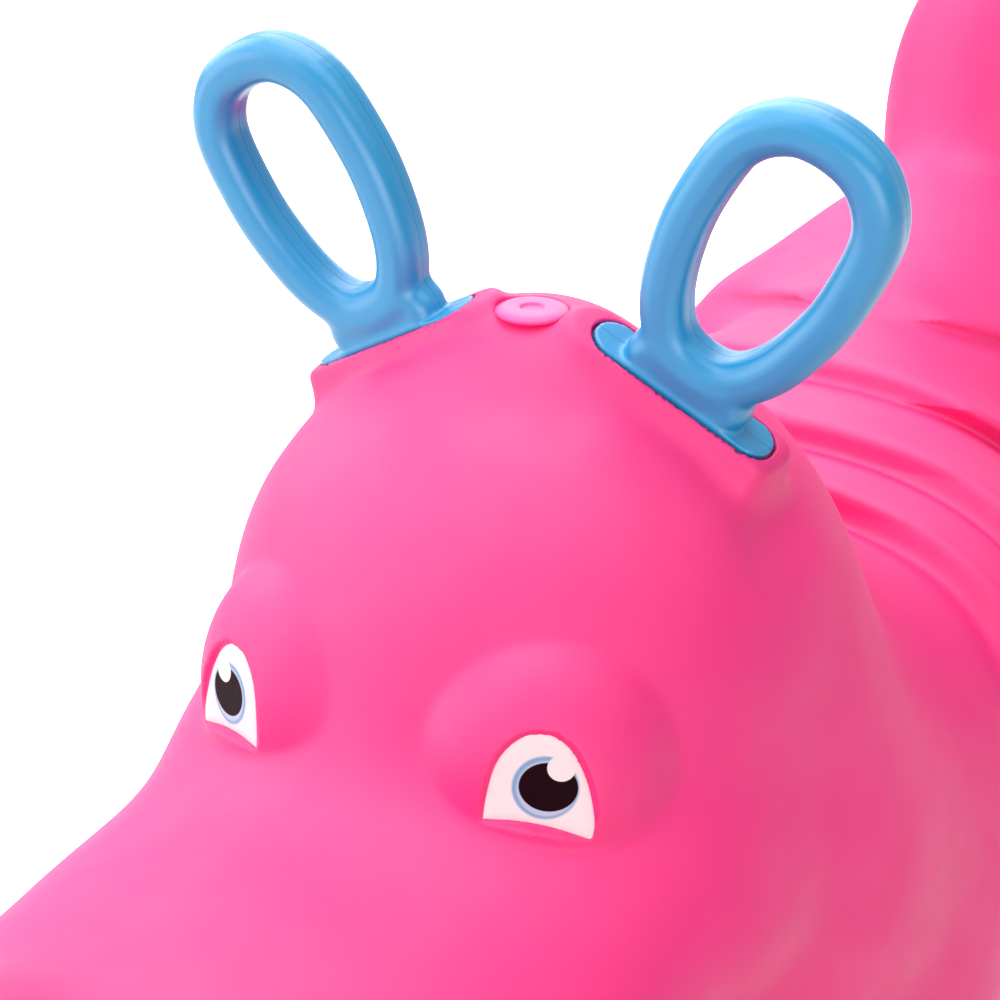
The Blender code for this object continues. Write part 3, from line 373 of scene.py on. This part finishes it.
def part_corners(level):
    """Turns the weakest corner wherever a grid square has its two inside corners on a diagonal."""
    for _ in range(6):
        for axis in range(3):
            one = np.eye(3, dtype=int)[(axis + 1) % 3]
            two = np.eye(3, dtype=int)[(axis + 2) % 3]
            size = np.array(level.shape) - one - two
            a, b, c, d = [level[o[0]:o[0] + size[0], o[1]:o[1] + size[1], o[2]:o[2] + size[2]] < 0
                          for o in (one * 0, one, one + two, two)]
            for spot in np.argwhere((a == c) & (b == d) & (a != b)):
                corners = [tuple(spot + o) for o in (one * 0, one, one + two, two)]
                weak = min(corners, key=lambda k: abs(level[k]))
                level[weak] = -1e-7 if level[weak] >= 0 else 1e-7


def skin(level, axes):
    """A closed skin of four-sided faces round the part of a grid where the level is negative."""
    inside = level < 0
    short = [n - 1 for n in level.shape]
    count = np.zeros(short, np.int8)
    corners = [(i, j, k) for i in (0, 1) for j in (0, 1) for k in (0, 1)]
    for i, j, k in corners:
        count += inside[i:i + short[0], j:j + short[1], k:k + short[2]]
    mixed = (count > 0) & (count < 8)
    cells = np.argwhere(mixed)
    index = np.full(mixed.shape, -1, np.int32)
    index[mixed] = np.arange(len(cells))
    total = np.zeros((len(cells), 3))
    hits = np.zeros(len(cells))
    for a in corners:
        va = level[tuple((cells + a).T)]
        for axis in range(3):
            if a[axis]:
                continue
            step = np.eye(3, dtype=int)[axis]
            vb = level[tuple((cells + a + step).T)]
            cross = (va < 0) != (vb < 0)
            t = va / np.where(cross, va - vb, 1)
            total[cross] += (np.array(a) + t[:, None] * step)[cross]
            hits[cross] += 1
    at = cells + total / hits[:, None]
    points = np.stack([np.interp(at[:, k], np.arange(len(axes[k])), axes[k]) for k in range(3)], -1)
    faces = []
    for axis in range(3):
        ahead = [slice(None)] * 3
        behind = [slice(None)] * 3
        ahead[axis] = slice(1, None)
        behind[axis] = slice(None, -1)
        edge = np.argwhere(inside[tuple(ahead)] != inside[tuple(behind)])
        one = np.eye(3, dtype=int)[(axis + 1) % 3]
        two = np.eye(3, dtype=int)[(axis + 2) % 3]
        quad = np.stack([index[tuple((edge - d).T)] for d in (one * 0, one, one + two, two)], -1)
        back = ~inside[tuple(edge.T)]
        quad[back] = quad[back][:, ::-1]
        faces.append(quad)
    return points, np.concatenate(faces)


def both_sides(field, axes, band, limit):
    """The closed skin of a shape, sampled on its left side and mirrored to the right."""
    level = sample(field, axes, band)
    part_corners(level)
    level = np.concatenate([level[:0:-1], level])
    points, faces = skin(level, [np.concatenate([-axes[0][:0:-1], axes[0]]), axes[1], axes[2]])
    return settle(field, points, 2, limit), faces


def steps(*legs_of_axis):
    """Places along one axis from (start, end, step) stretches laid end to end."""
    out = []
    for start, end, step in legs_of_axis:
        n = max(1, round((end - start) / step))
        out.append(np.linspace(start, end, n, endpoint=False))
    return np.append(np.concatenate(out), legs_of_axis[-1][1])


def mesh_of(name, points, faces):
    """A mesh from points and faces, which are a list of any faces or an array of like ones."""
    data = bpy.data.meshes.new(name)
    data.vertices.add(len(points))
    data.vertices.foreach_set("co", np.asarray(points, np.float32).ravel())
    if isinstance(faces, list):
        sizes = np.array([len(f) for f in faces])
        loops = np.concatenate(faces)
    else:
        sizes = np.full(len(faces), faces.shape[1])
        loops = faces.ravel()
    data.loops.add(len(loops))
    data.loops.foreach_set("vertex_index", loops.astype(np.int32))
    data.polygons.add(len(sizes))
    data.polygons.foreach_set("loop_start", np.append(0, np.cumsum(sizes)[:-1]).astype(np.int32))
    data.update(calc_edges=True)
    data.validate()
    return data


def smooth(data):
    data.polygons.foreach_set("use_smooth", np.ones(len(data.polygons), bool))


def points_of(data):
    p = np.empty(len(data.vertices) * 3)
    data.vertices.foreach_get("co", p)
    return p.reshape(-1, 3)


def flow(data, field):
    """Lays the points on the shape and shades them by its slope."""
    p = settle(field, points_of(data), 2, 0.0008)
    data.vertices.foreach_set("co", p.astype(np.float32).ravel())
    n = slope(field, p)
    n /= np.linalg.norm(n, axis=1)[:, None] + 1e-12
    smooth(data)
    data.normals_split_custom_set_from_vertices(n.astype(np.float32))
    data.update()
    return data


def fewer(data, target):
    """The same skin in about the target number of triangles."""
    tool = bpy.data.objects.new("fewer", data)
    bpy.context.scene.collection.objects.link(tool)
    split = tool.modifiers.new("split", "TRIANGULATE")
    split.quad_method = "SHORTEST_DIAGONAL"
    less = tool.modifiers.new("less", "DECIMATE")
    less.ratio = min(1.0, target / (2 * len(data.polygons)))
    out = bpy.data.meshes.new_from_object(tool.evaluated_get(bpy.context.evaluated_depsgraph_get()))
    bpy.data.objects.remove(tool, do_unlink=True)
    return out


PIECES = {}


def piece(name, data, finish, nodes, shift=True):
    """A named piece of the look in the place of its CAD nodes."""
    if shift:
        data.transform(Matrix.Translation(Vector(HERE)))
    data.materials.clear()
    data.materials.append(finish)
    made = bpy.data.objects.new(name, data)
    bpy.context.scene.collection.objects.link(made)
    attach(made, "root")
    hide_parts(*nodes)
    PIECES[name] = made
    return made


# Materials

def linear(code):
    """A hex colour as linear values."""
    out = []
    for n in (0, 2, 4):
        c = int(code.lstrip("#")[n:n + 2], 16) / 255
        out.append(c / 12.92 if c <= 0.04045 else ((c + 0.055) / 1.055) ** 2.4)
    return (*out, 1.0)


class Tree:
    """Adds nodes to a new material and links them."""

    def __init__(self, name):
        self.material = bpy.data.materials.new(name)
        self.material.use_nodes = True
        self.nodes = self.material.node_tree.nodes
        self.links = self.material.node_tree.links
        self.shader = self.nodes["Principled BSDF"]
        self.place = self.add("ShaderNodeTexCoord").outputs["Object"]

    def add(self, kind, inputs=(), **settings):
        node = self.nodes.new(kind)
        for key, value in settings.items():
            setattr(node, key, value)
        for key, value in dict(inputs).items():
            self.put(node.inputs[key], value)
        return node

    def put(self, socket, value):
        if isinstance(value, bpy.types.NodeSocket):
            self.links.new(value, socket)
        else:
            socket.default_value = value

    def math(self, what, *values):
        node = self.add("ShaderNodeMath", operation=what)
        for n, value in enumerate(values):
            self.put(node.inputs[n], value)
        return node.outputs[0]

    def noise(self, per_metre, detail=2.0, rough=0.5, place=None):
        node = self.add("ShaderNodeTexNoise", {"Scale": per_metre, "Detail": detail, "Roughness": rough})
        self.put(node.inputs["Vector"], place or self.place)
        return node.outputs["Fac"]

    def remap(self, value, low, high, to_low, to_high, kind="LINEAR"):
        node = self.add("ShaderNodeMapRange", interpolation_type=kind)
        sockets = ("Value", "From Min", "From Max", "To Min", "To Max")
        for key, v in zip(sockets, (value, low, high, to_low, to_high)):
            self.put(node.inputs[key], v)
        return node.outputs["Result"]

    def mix(self, factor, a, b):
        node = self.add("ShaderNodeMix", data_type="RGBA")
        self.put(node.inputs[0], factor)
        self.put(node.inputs[6], a)
        self.put(node.inputs[7], b)
        return node.outputs[2]

    def bump(self, height, distance, strength=1.0, under=None):
        node = self.add("ShaderNodeBump", {"Height": height, "Distance": distance, "Strength": strength})
        if under is not None:
            self.put(node.inputs["Normal"], under)
        return node.outputs["Normal"]

    def set(self, **values):
        for key, value in values.items():
            self.put(self.shader.inputs[key.replace("_", " ")], value)


def blow_moulded_polyethylene():
    """Satin pink polyethylene from a blow mould: broad white bloom, faint orange peel, scuffs below."""
    t = Tree("blow_moulded_polyethylene")
    cloud = t.noise(14, 2.0)
    colour = t.mix(t.remap(cloud, 0.35, 0.65, 0, 1), linear("#f20a7a"), linear("#f30c7d"))
    height = t.add("ShaderNodeSeparateXYZ", {"Vector": t.place}).outputs["Z"]
    low = t.remap(height, 0.0015, 0.007, 1, 0)
    scratch = t.add("ShaderNodeMapping", {"Vector": t.place, "Scale": (1, 0.06, 1)}).outputs[0]
    scuff = t.math("MULTIPLY", low, t.remap(t.noise(900, 3, 0.6, scratch), 0.5, 0.62, 0, 1))
    colour = t.mix(t.math("MULTIPLY", scuff, 0.35), colour, linear("#f7a8c8"))
    rough = t.remap(t.noise(60, 3), 0.3, 0.7, 0.57, 0.63)
    rough = t.math("ADD", rough, t.math("MULTIPLY", scuff, 0.2))
    peel = t.bump(t.noise(420, 2), 0.00005, 0.5)
    grain = t.bump(t.noise(2600, 2), 0.000012, 0.6, peel)
    t.set(Base_Color=colour, Roughness=rough, Normal=grain, Subsurface_Weight=0.10, Subsurface_Scale=0.004,
          Subsurface_Radius=(1.0, 0.35, 0.6), IOR=1.51, Specular_IOR_Level=1.0)
    return t.material


def plug_polyethylene():
    """The same plastic moulded thicker and slightly paler for the press-in plugs."""
    t = Tree("plug_polyethylene")
    colour = t.mix(t.noise(60, 2), linear("#f6489a"), linear("#f7529f"))
    rough = t.remap(t.noise(200, 3), 0.3, 0.7, 0.36, 0.42)
    t.set(Base_Color=colour, Roughness=rough, Normal=t.bump(t.noise(1800, 2), 0.000012, 0.6),
          Subsurface_Weight=0.15, Subsurface_Scale=0.003, Subsurface_Radius=(1.0, 0.4, 0.6), IOR=1.51)
    return t.material


def injection_moulded_polypropylene():
    """Semi-gloss blue polypropylene from a polished mould, with faint flow waves."""
    t = Tree("injection_moulded_polypropylene")
    wave = t.noise(45, 2)
    colour = t.mix(t.remap(wave, 0.35, 0.65, 0, 1), linear("#1290c8"), linear("#1895cc"))
    rough = t.remap(t.noise(160, 3), 0.3, 0.7, 0.32, 0.38)
    flow_bump = t.bump(t.noise(120, 2), 0.00006, 0.35)
    grain = t.bump(t.noise(2400, 2), 0.00001, 0.5, flow_bump)
    t.set(Base_Color=colour, Roughness=rough, Normal=grain, Subsurface_Weight=0.08, Subsurface_Scale=0.002,
          Subsurface_Radius=(0.4, 0.7, 1.0), IOR=1.5, Specular_IOR_Level=0.8)
    return t.material


def printed_film():
    """Satin white film with the eye printed on it; the print lies in the piece's own flat coordinates."""
    t = Tree("printed_film")
    spot = t.add("ShaderNodeUVMap", uv_map="flat").outputs[0]
    parts = t.add("ShaderNodeSeparateXYZ", {"Vector": spot})
    a, b = parts.outputs["X"], parts.outputs["Y"]

    def oval(ca, cb, ra, rb, soft, tilt=0.0):
        c, s = math.cos(math.radians(tilt)), math.sin(math.radians(tilt))
        da, db = t.math("SUBTRACT", a, ca), t.math("SUBTRACT", b, cb)
        x = t.math("ADD", t.math("MULTIPLY", da, c / ra), t.math("MULTIPLY", db, s / ra))
        y = t.math("SUBTRACT", t.math("MULTIPLY", db, c / rb), t.math("MULTIPLY", da, s / rb))
        far = t.math("SQRT", t.math("ADD", t.math("MULTIPLY", x, x), t.math("MULTIPLY", y, y)))
        return t.remap(far, 1 - soft, 1 + soft, 1, 0, "SMOOTHSTEP")

    white = t.mix(t.noise(300, 2), linear("#f4e9e9"), linear("#f7eded"))
    colour = t.mix(oval(0.0021, 0.0021, 0.0093, 0.0094, 0.05), white, linear("#83aed2"))
    colour = t.mix(oval(0.0024, 0.0019, 0.0083, 0.0083, 0.06), colour, linear("#bccbe2"))
    colour = t.mix(oval(0.0029, 0.0023, 0.0082, 0.0073, 0.02, -5), colour, linear("#1a020a"))
    colour = t.mix(oval(0.0064, 0.0080, 0.0039, 0.0039, 0.03), colour, white)
    t.set(Base_Color=colour, Roughness=t.remap(t.noise(500, 2), 0.3, 0.7, 0.42, 0.50),
          Normal=t.bump(t.noise(1500, 2), 0.000006, 0.5), IOR=1.45, Specular_IOR_Level=0.04)
    return t.material


def zinc_plated_steel():
    """Bright zinc plate on cold-headed steel, with a fine grain and a dull bloom."""
    t = Tree("zinc_plated_steel")
    colour = t.mix(t.noise(700, 3), linear("#b9bcc0"), linear("#d3d5d6"))
    t.set(Base_Color=colour, Metallic=1.0, Roughness=t.remap(t.noise(1500, 3), 0.3, 0.7, 0.28, 0.42),
          Normal=t.bump(t.noise(5000, 2), 0.000008, 0.6))
    return t.material


PINK = blow_moulded_polyethylene()
PLUG = plug_polyethylene()
BLUE = injection_moulded_polypropylene()
FILM = printed_film()
STEEL = zinc_plated_steel()

# Body skin, fine round the ears and eyes
fine, coarse = ((0.00125, 0.0030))
medium = 0.0018
body_triangles = 190000
axes = [steps((0, 0.096, fine), (0.096, 0.132, medium), (0.132, 0.168, coarse)),
        steps((-0.300, -0.122, coarse), (-0.122, 0.034, fine), (0.034, 0.120, coarse),
              (0.120, 0.345, medium), (0.345, 0.600, coarse)),
        steps((FLOOR - 0.009, -0.140, coarse), (-0.140, -0.112, medium), (-0.112, 0.022, fine),
              (0.022, 0.075, coarse))]
dense = mesh_of("body_skin", *both_sides(body, axes, 0.012, 0.0012))
data = flow(fewer(dense, body_triangles), body)
piece("body_skin", data, PINK, ["body_shell"])


# Ears

LOOP_HEIGHT = 0.0998
LOOP_WIDTH = 0.0636
GRIP_WIDTH = 0.0142
GRIP_DEPTH = 0.0170
GRIP_EDGE = 0.0061
SCREW_RECESS_RADIUS = 0.0031
HALF_GAP = 0.00008


def loop_line():
    """The middle line of the grip, an egg with its narrow end down."""
    tall = LOOP_HEIGHT - GRIP_WIDTH / 2
    wide = (LOOP_WIDTH - GRIP_WIDTH) / 2
    side = [(0.0, 0.10), (0.44, 0.135), (0.76, 0.255), (0.95, 0.44), (1.0, 0.62), (0.90, 0.84),
            (0.52, 0.965)]
    knots = [(wide * a, tall * b) for a, b in side] + [(0.0, tall)]
    return curve_through(knots + [(-a, b) for a, b in knots[-2:0:-1]], True, 6)


LOOP = loop_line()


def bar(reach, v, half_width, half_depth, edge):
    """A rounded oblong section swept along a line."""
    a = reach - (half_width - edge)
    b = np.abs(v) - (half_depth - edge)
    return np.hypot(np.maximum(a, 0), np.maximum(b, 0)) + np.minimum(np.maximum(a, b), 0) - edge


SCREWS = ((0.0, LOOP_HEIGHT - GRIP_WIDTH / 2), (0.0195, 0.0285), (-0.0195, 0.0285))


def ear(p):
    """The loop, its foot and its plate, with the screw recesses in the rear."""
    u, v, w = p.T
    shape = bar(to_line(u, w, LOOP), v, GRIP_WIDTH / 2, GRIP_DEPTH / 2, GRIP_EDGE)
    foot = to_line(u, w, np.array([(-0.0125, 0.0040), (0.0125, 0.0040)]), False)
    shape = join(shape, bar(foot, v, 0.0085, 0.0079, GRIP_EDGE), 0.006)
    plate = np.sqrt(np.maximum(np.abs(u) - (PLATE_LENGTH - PLATE_WIDTH) / 2, 0) ** 2 + v ** 2 + 1e-10)
    plate = keep(plate - PLATE_WIDTH / 2, np.abs(w + PLATE_DEPTH / 2) - PLATE_DEPTH / 2, 0.0012)
    shape = join(shape, plate, 0.0035)
    for a, b in SCREWS:
        well = keep(np.hypot(u - a, w - b) - SCREW_RECESS_RADIUS, 0.0061 - v, 0.0004)
        shape = keep(shape, -well, 0.0005)
    return keep(shape, -w - PLATE_DEPTH, 0.0008)


step = 0.0009
axes = [steps((0, 0.037, step)), steps((-0.0105, 0.0105, step)), steps((-0.006, 0.104, step))]
whole = mesh_of("ear", *both_sides(ear, axes, 0.006, 0.0005))
for half, sign in (("front", -1), ("rear", 1)):
    work = bmesh.new()
    work.from_mesh(whole)
    everything = work.verts[:] + work.edges[:] + work.faces[:]
    bmesh.ops.bisect_plane(work, geom=everything, plane_co=(0, sign * HALF_GAP, 0), plane_no=(0, -sign, 0),
                           clear_outer=True)
    rim = [e for e in work.edges if e.is_boundary]
    bmesh.ops.triangle_fill(work, use_beauty=True, use_dissolve=False, edges=rim, normal=(0, -sign, 0))
    bmesh.ops.triangulate(work, faces=work.faces)
    bmesh.ops.recalc_face_normals(work, faces=work.faces)
    data = bpy.data.meshes.new("half")
    work.to_mesh(data)
    work.free()
    p = points_of(data)
    smooth(data)
    n = slope(ear, p)
    n /= np.linalg.norm(n, axis=1)[:, None] + 1e-12
    loops = np.empty(len(data.loops), np.int32)
    data.loops.foreach_get("vertex_index", loops)
    flat = np.empty(len(data.polygons) * 3)
    data.polygons.foreach_get("normal", flat)
    flat = np.repeat(flat.reshape(-1, 3), 3, 0)
    normal = n[loops]
    cap = (np.abs(flat[:, 1]) > 0.99) & (np.abs(p[loops][:, 1]) < 0.0002)
    normal[cap] = flat[cap]
    for side, across in (("left", 1), ("right", -1)):
        turn = turned(EAR_AHEAD, EAR_OUT * across)
        copy = data.copy()
        q = p * np.array([across, 1, 1])
        place = q @ turn.T + HERE + np.array([across * EAR_SPREAD, 0, 0])
        copy.vertices.foreach_set("co", place.astype(np.float32).ravel())
        nn = (normal * np.array([across, 1, 1])) @ turn.T
        if across < 0:
            copy.flip_normals()
            order = np.arange(len(loops)).reshape(-1, 3)[:, [0, 2, 1]].ravel()
            nn = nn[order]
        copy.normals_split_custom_set(nn.astype(np.float32))
        copy.update()
        piece("ear_" + side + "_" + half + "_skin", copy, BLUE,
              ["ear_" + side + "_" + half], shift=False)


# Plugs

def lathe(outline, sides):
    """A turned solid from a half section that starts and ends on its axis."""
    points = [(0, 0, outline[0][1])]
    for radius, height in outline[1:-1]:
        for n in range(sides):
            a = 2 * math.pi * n / sides
            points.append((radius * math.cos(a), radius * math.sin(a), height))
    points.append((0, 0, outline[-1][1]))
    rings = len(outline) - 2
    faces = []
    for n in range(sides):
        m = (n + 1) % sides
        faces.append((0, 1 + m, 1 + n))
        for ring in range(rings - 1):
            a = 1 + ring * sides
            faces.append((a + n, a + m, a + sides + m, a + sides + n))
        a = 1 + (rings - 1) * sides
        faces.append((a + n, a + m, len(points) - 1))
    return points, faces


def plug_outline(radius, stem, top, edge, dimple, sink):
    """A button seen in half section, from the underside round to the top."""
    out = [(0, -0.0060), (stem - 0.0012, -0.0060), (stem, -0.0048), (stem, -0.0004), (radius - edge, 0.0)]
    for n in range(7):
        a = math.pi / 2 * n / 6
        height = 0.00001 + (top * 0.5) * (1 - math.cos(a))
        out.append((radius - edge + edge * math.cos(a - math.pi / 2), height))
    for n in range(1, 9):
        t = n / 8
        height = top * (0.5 + 0.5 * math.sin(math.pi / 2 * min(1, t * 2.2)))
        out.append((radius + (dimple + 0.0009 - radius) * t, height))
    for n in range(1, 7):
        t = n / 6
        out.append((dimple + 0.0009 - 0.0012 * t, top - sink * (0.5 - 0.5 * math.cos(math.pi * t))))
    out.append((0, top - sink))
    return out


for name, (y, z, sign, _, radius, stem, sunk) in PLUGS.items():
    section = plug_outline(radius, stem, top=0.0019, edge=0.0005, dimple=0.0032, sink=0.0008)
    data = mesh_of(name, *lathe(section, sides=96))
    turn = Matrix.Rotation(0 if sign > 0 else math.pi, 4, "X")
    data.transform(Matrix.Translation((0, y, z - sign * sunk)) @ turn)
    smooth(data)
    piece(name + "_skin", data, PLUG, [name])

# Eye labels
line = LABEL_LINE
count = len(line)
rings = [0.25, 0.5, 0.75, 0.97, 1.0]
middle_a, middle_b = 0.0006, 0.0020
spots = [(middle_a, middle_b)]
for r in rings:
    spots += [(middle_a + (a - middle_a) * r, middle_b + (b - middle_b) * r) for a, b in line]
spots = np.array(spots)
lift = np.full(len(spots), FILM_TOP)
lift[-count:] = FILM_EDGE_TOP
under = spots[-count:]
flat = np.concatenate([spots, under])
lift = np.concatenate([lift, np.full(count, FILM_UNDER)])
points = LABEL_CENTRE - LABEL_FACING * FILM_BASE + np.outer(flat[:, 0], LABEL_SIDE)
points = points + np.outer(flat[:, 1], LABEL_UP) + np.outer(lift, LABEL_FACING)
faces = []
for n in range(count):
    m = (n + 1) % count
    faces.append([0, 1 + n, 1 + m])
    for r in range(len(rings)):
        a = 1 + r * count
        faces.append([a + n, a + count + n, a + count + m, a + m])
base = 1 + len(rings) * count
faces.append([base + n for n in range(count)][::-1])
for side, across in (("left", 1), ("right", -1)):
    order = [f if across > 0 else f[::-1] for f in faces]
    data = mesh_of("label", points * np.array([across, 1, 1]), order)
    layer = data.uv_layers.new(name="flat")
    loops = np.empty(len(data.loops), np.int32)
    data.loops.foreach_get("vertex_index", loops)
    layer.data.foreach_set("uv", flat[loops].astype(np.float32).ravel())
    smooth(data)
    piece("eye_label_" + side + "_film", data, FILM, ["eye_label_" + side])

for thing in bpy.data.objects:
    if thing.name.startswith("screw_"):
        for slot in thing.material_slots:
            slot.material = STEEL

# Floor, light and camera
work = bmesh.new()
bmesh.ops.create_grid(work, x_segments=1, y_segments=1, size=6)
data = bpy.data.meshes.new("floor")
work.to_mesh(data)
work.free()
floor = bpy.data.objects.new("floor", data)
bpy.context.scene.collection.objects.link(floor)
t = Tree("studio_floor")
rays = t.add("ShaderNodeLightPath").outputs
seen = t.math("MAXIMUM", rays["Is Glossy Ray"], rays["Is Transmission Ray"])
seen = t.math("MAXIMUM", rays["Is Camera Ray"], seen)
t.set(Base_Color=t.mix(seen, linear("#8c8a8b"), linear("#f4f2f3")), Roughness=0.8,
      Emission_Color=(1, 1, 1, 1), Emission_Strength=t.math("MULTIPLY", seen, 0.75))
data.materials.append(t.material)

scene = bpy.context.scene
scene.view_settings.view_transform = "Standard"
world = bpy.data.worlds.new("studio")
scene.world = world
world.use_nodes = True
nodes, links = world.node_tree.nodes, world.node_tree.links
sky = nodes["Background"]
sky.inputs["Color"].default_value = (1, 1, 1, 1)
sky.inputs["Strength"].default_value = 0.10
white = nodes.new("ShaderNodeBackground")
white.inputs["Strength"].default_value = 1.0
path = nodes.new("ShaderNodeLightPath")
mixed = nodes.new("ShaderNodeMixShader")
seen = path.outputs["Is Camera Ray"]
for ray in ("Is Glossy Ray", "Is Transmission Ray"):
    either = nodes.new("ShaderNodeMath")
    either.operation = "MAXIMUM"
    links.new(seen, either.inputs[0])
    links.new(path.outputs[ray], either.inputs[1])
    seen = either.outputs[0]
links.new(seen, mixed.inputs[0])
links.new(sky.outputs[0], mixed.inputs[1])
links.new(white.outputs[0], mixed.inputs[2])
links.new(mixed.outputs[0], nodes["World Output"].inputs["Surface"])

# The camera's axes
back = Vector((0.4247, -0.7921, 0.4384)).normalized()
right = Vector((0.8813, 0.4726, 0)).normalized()
up = back.cross(right)

# Soft square lamps round the head: the way each lies, as right, up and toward the camera, and its watts
LAMP_SIDE = 1.6
LAMP_AWAY = 2.2
LAMP_AIM = Vector((0.02, -0.18, 0.29))
LAMPS = {
    "back_left": ((-0.7, 0.7, -0.3), 26.0),
    "above": ((0, 1, 0.1), 26.0),
    "back_above": ((0.1, 0.8, -0.6), 20.0),
    "front_above": ((-0.1, 0.75, 0.65), 12.0),
    "left": ((-1, 0, 0.1), 21.5),
    "front_left": ((-0.7, 0.1, 0.7), 9.0),
    "front_low": ((0.1, -0.5, 0.85), 33.0),
    "front_left_above": ((-0.6, 0.6, 0.5), 14.0),
    "front_right_above": ((0.5, 0.6, 0.6), 13.0),
}
LAMP_LOWEST = 0.15
for name, (way, watts) in LAMPS.items():
    light = bpy.data.lights.new(name, "AREA")
    light.shape = "SQUARE"
    light.size = LAMP_SIDE
    light.energy = watts
    made = bpy.data.objects.new(name, light)
    scene.collection.objects.link(made)
    toward = (right * way[0] + up * way[1] + back * way[2]).normalized()
    made.location = LAMP_AIM + toward * LAMP_AWAY
    made.location.z = max(made.location.z, LAMP_LOWEST)
    made.rotation_euler = (LAMP_AIM - made.location).to_track_quat("-Z", "Y").to_euler()

camera = bpy.data.objects.new("camera", bpy.data.cameras.new("camera"))
scene.collection.objects.link(camera)
turn = Matrix((right, up, back)).transposed().to_4x4()
camera.matrix_world = Matrix.Translation(Vector((0.2584, -0.5041, 0.2279)) + Vector(HERE)) @ turn
camera.data.lens = 72.25
camera.data.sensor_width = 36
camera.data.clip_start = 0.01
scene.camera = camera
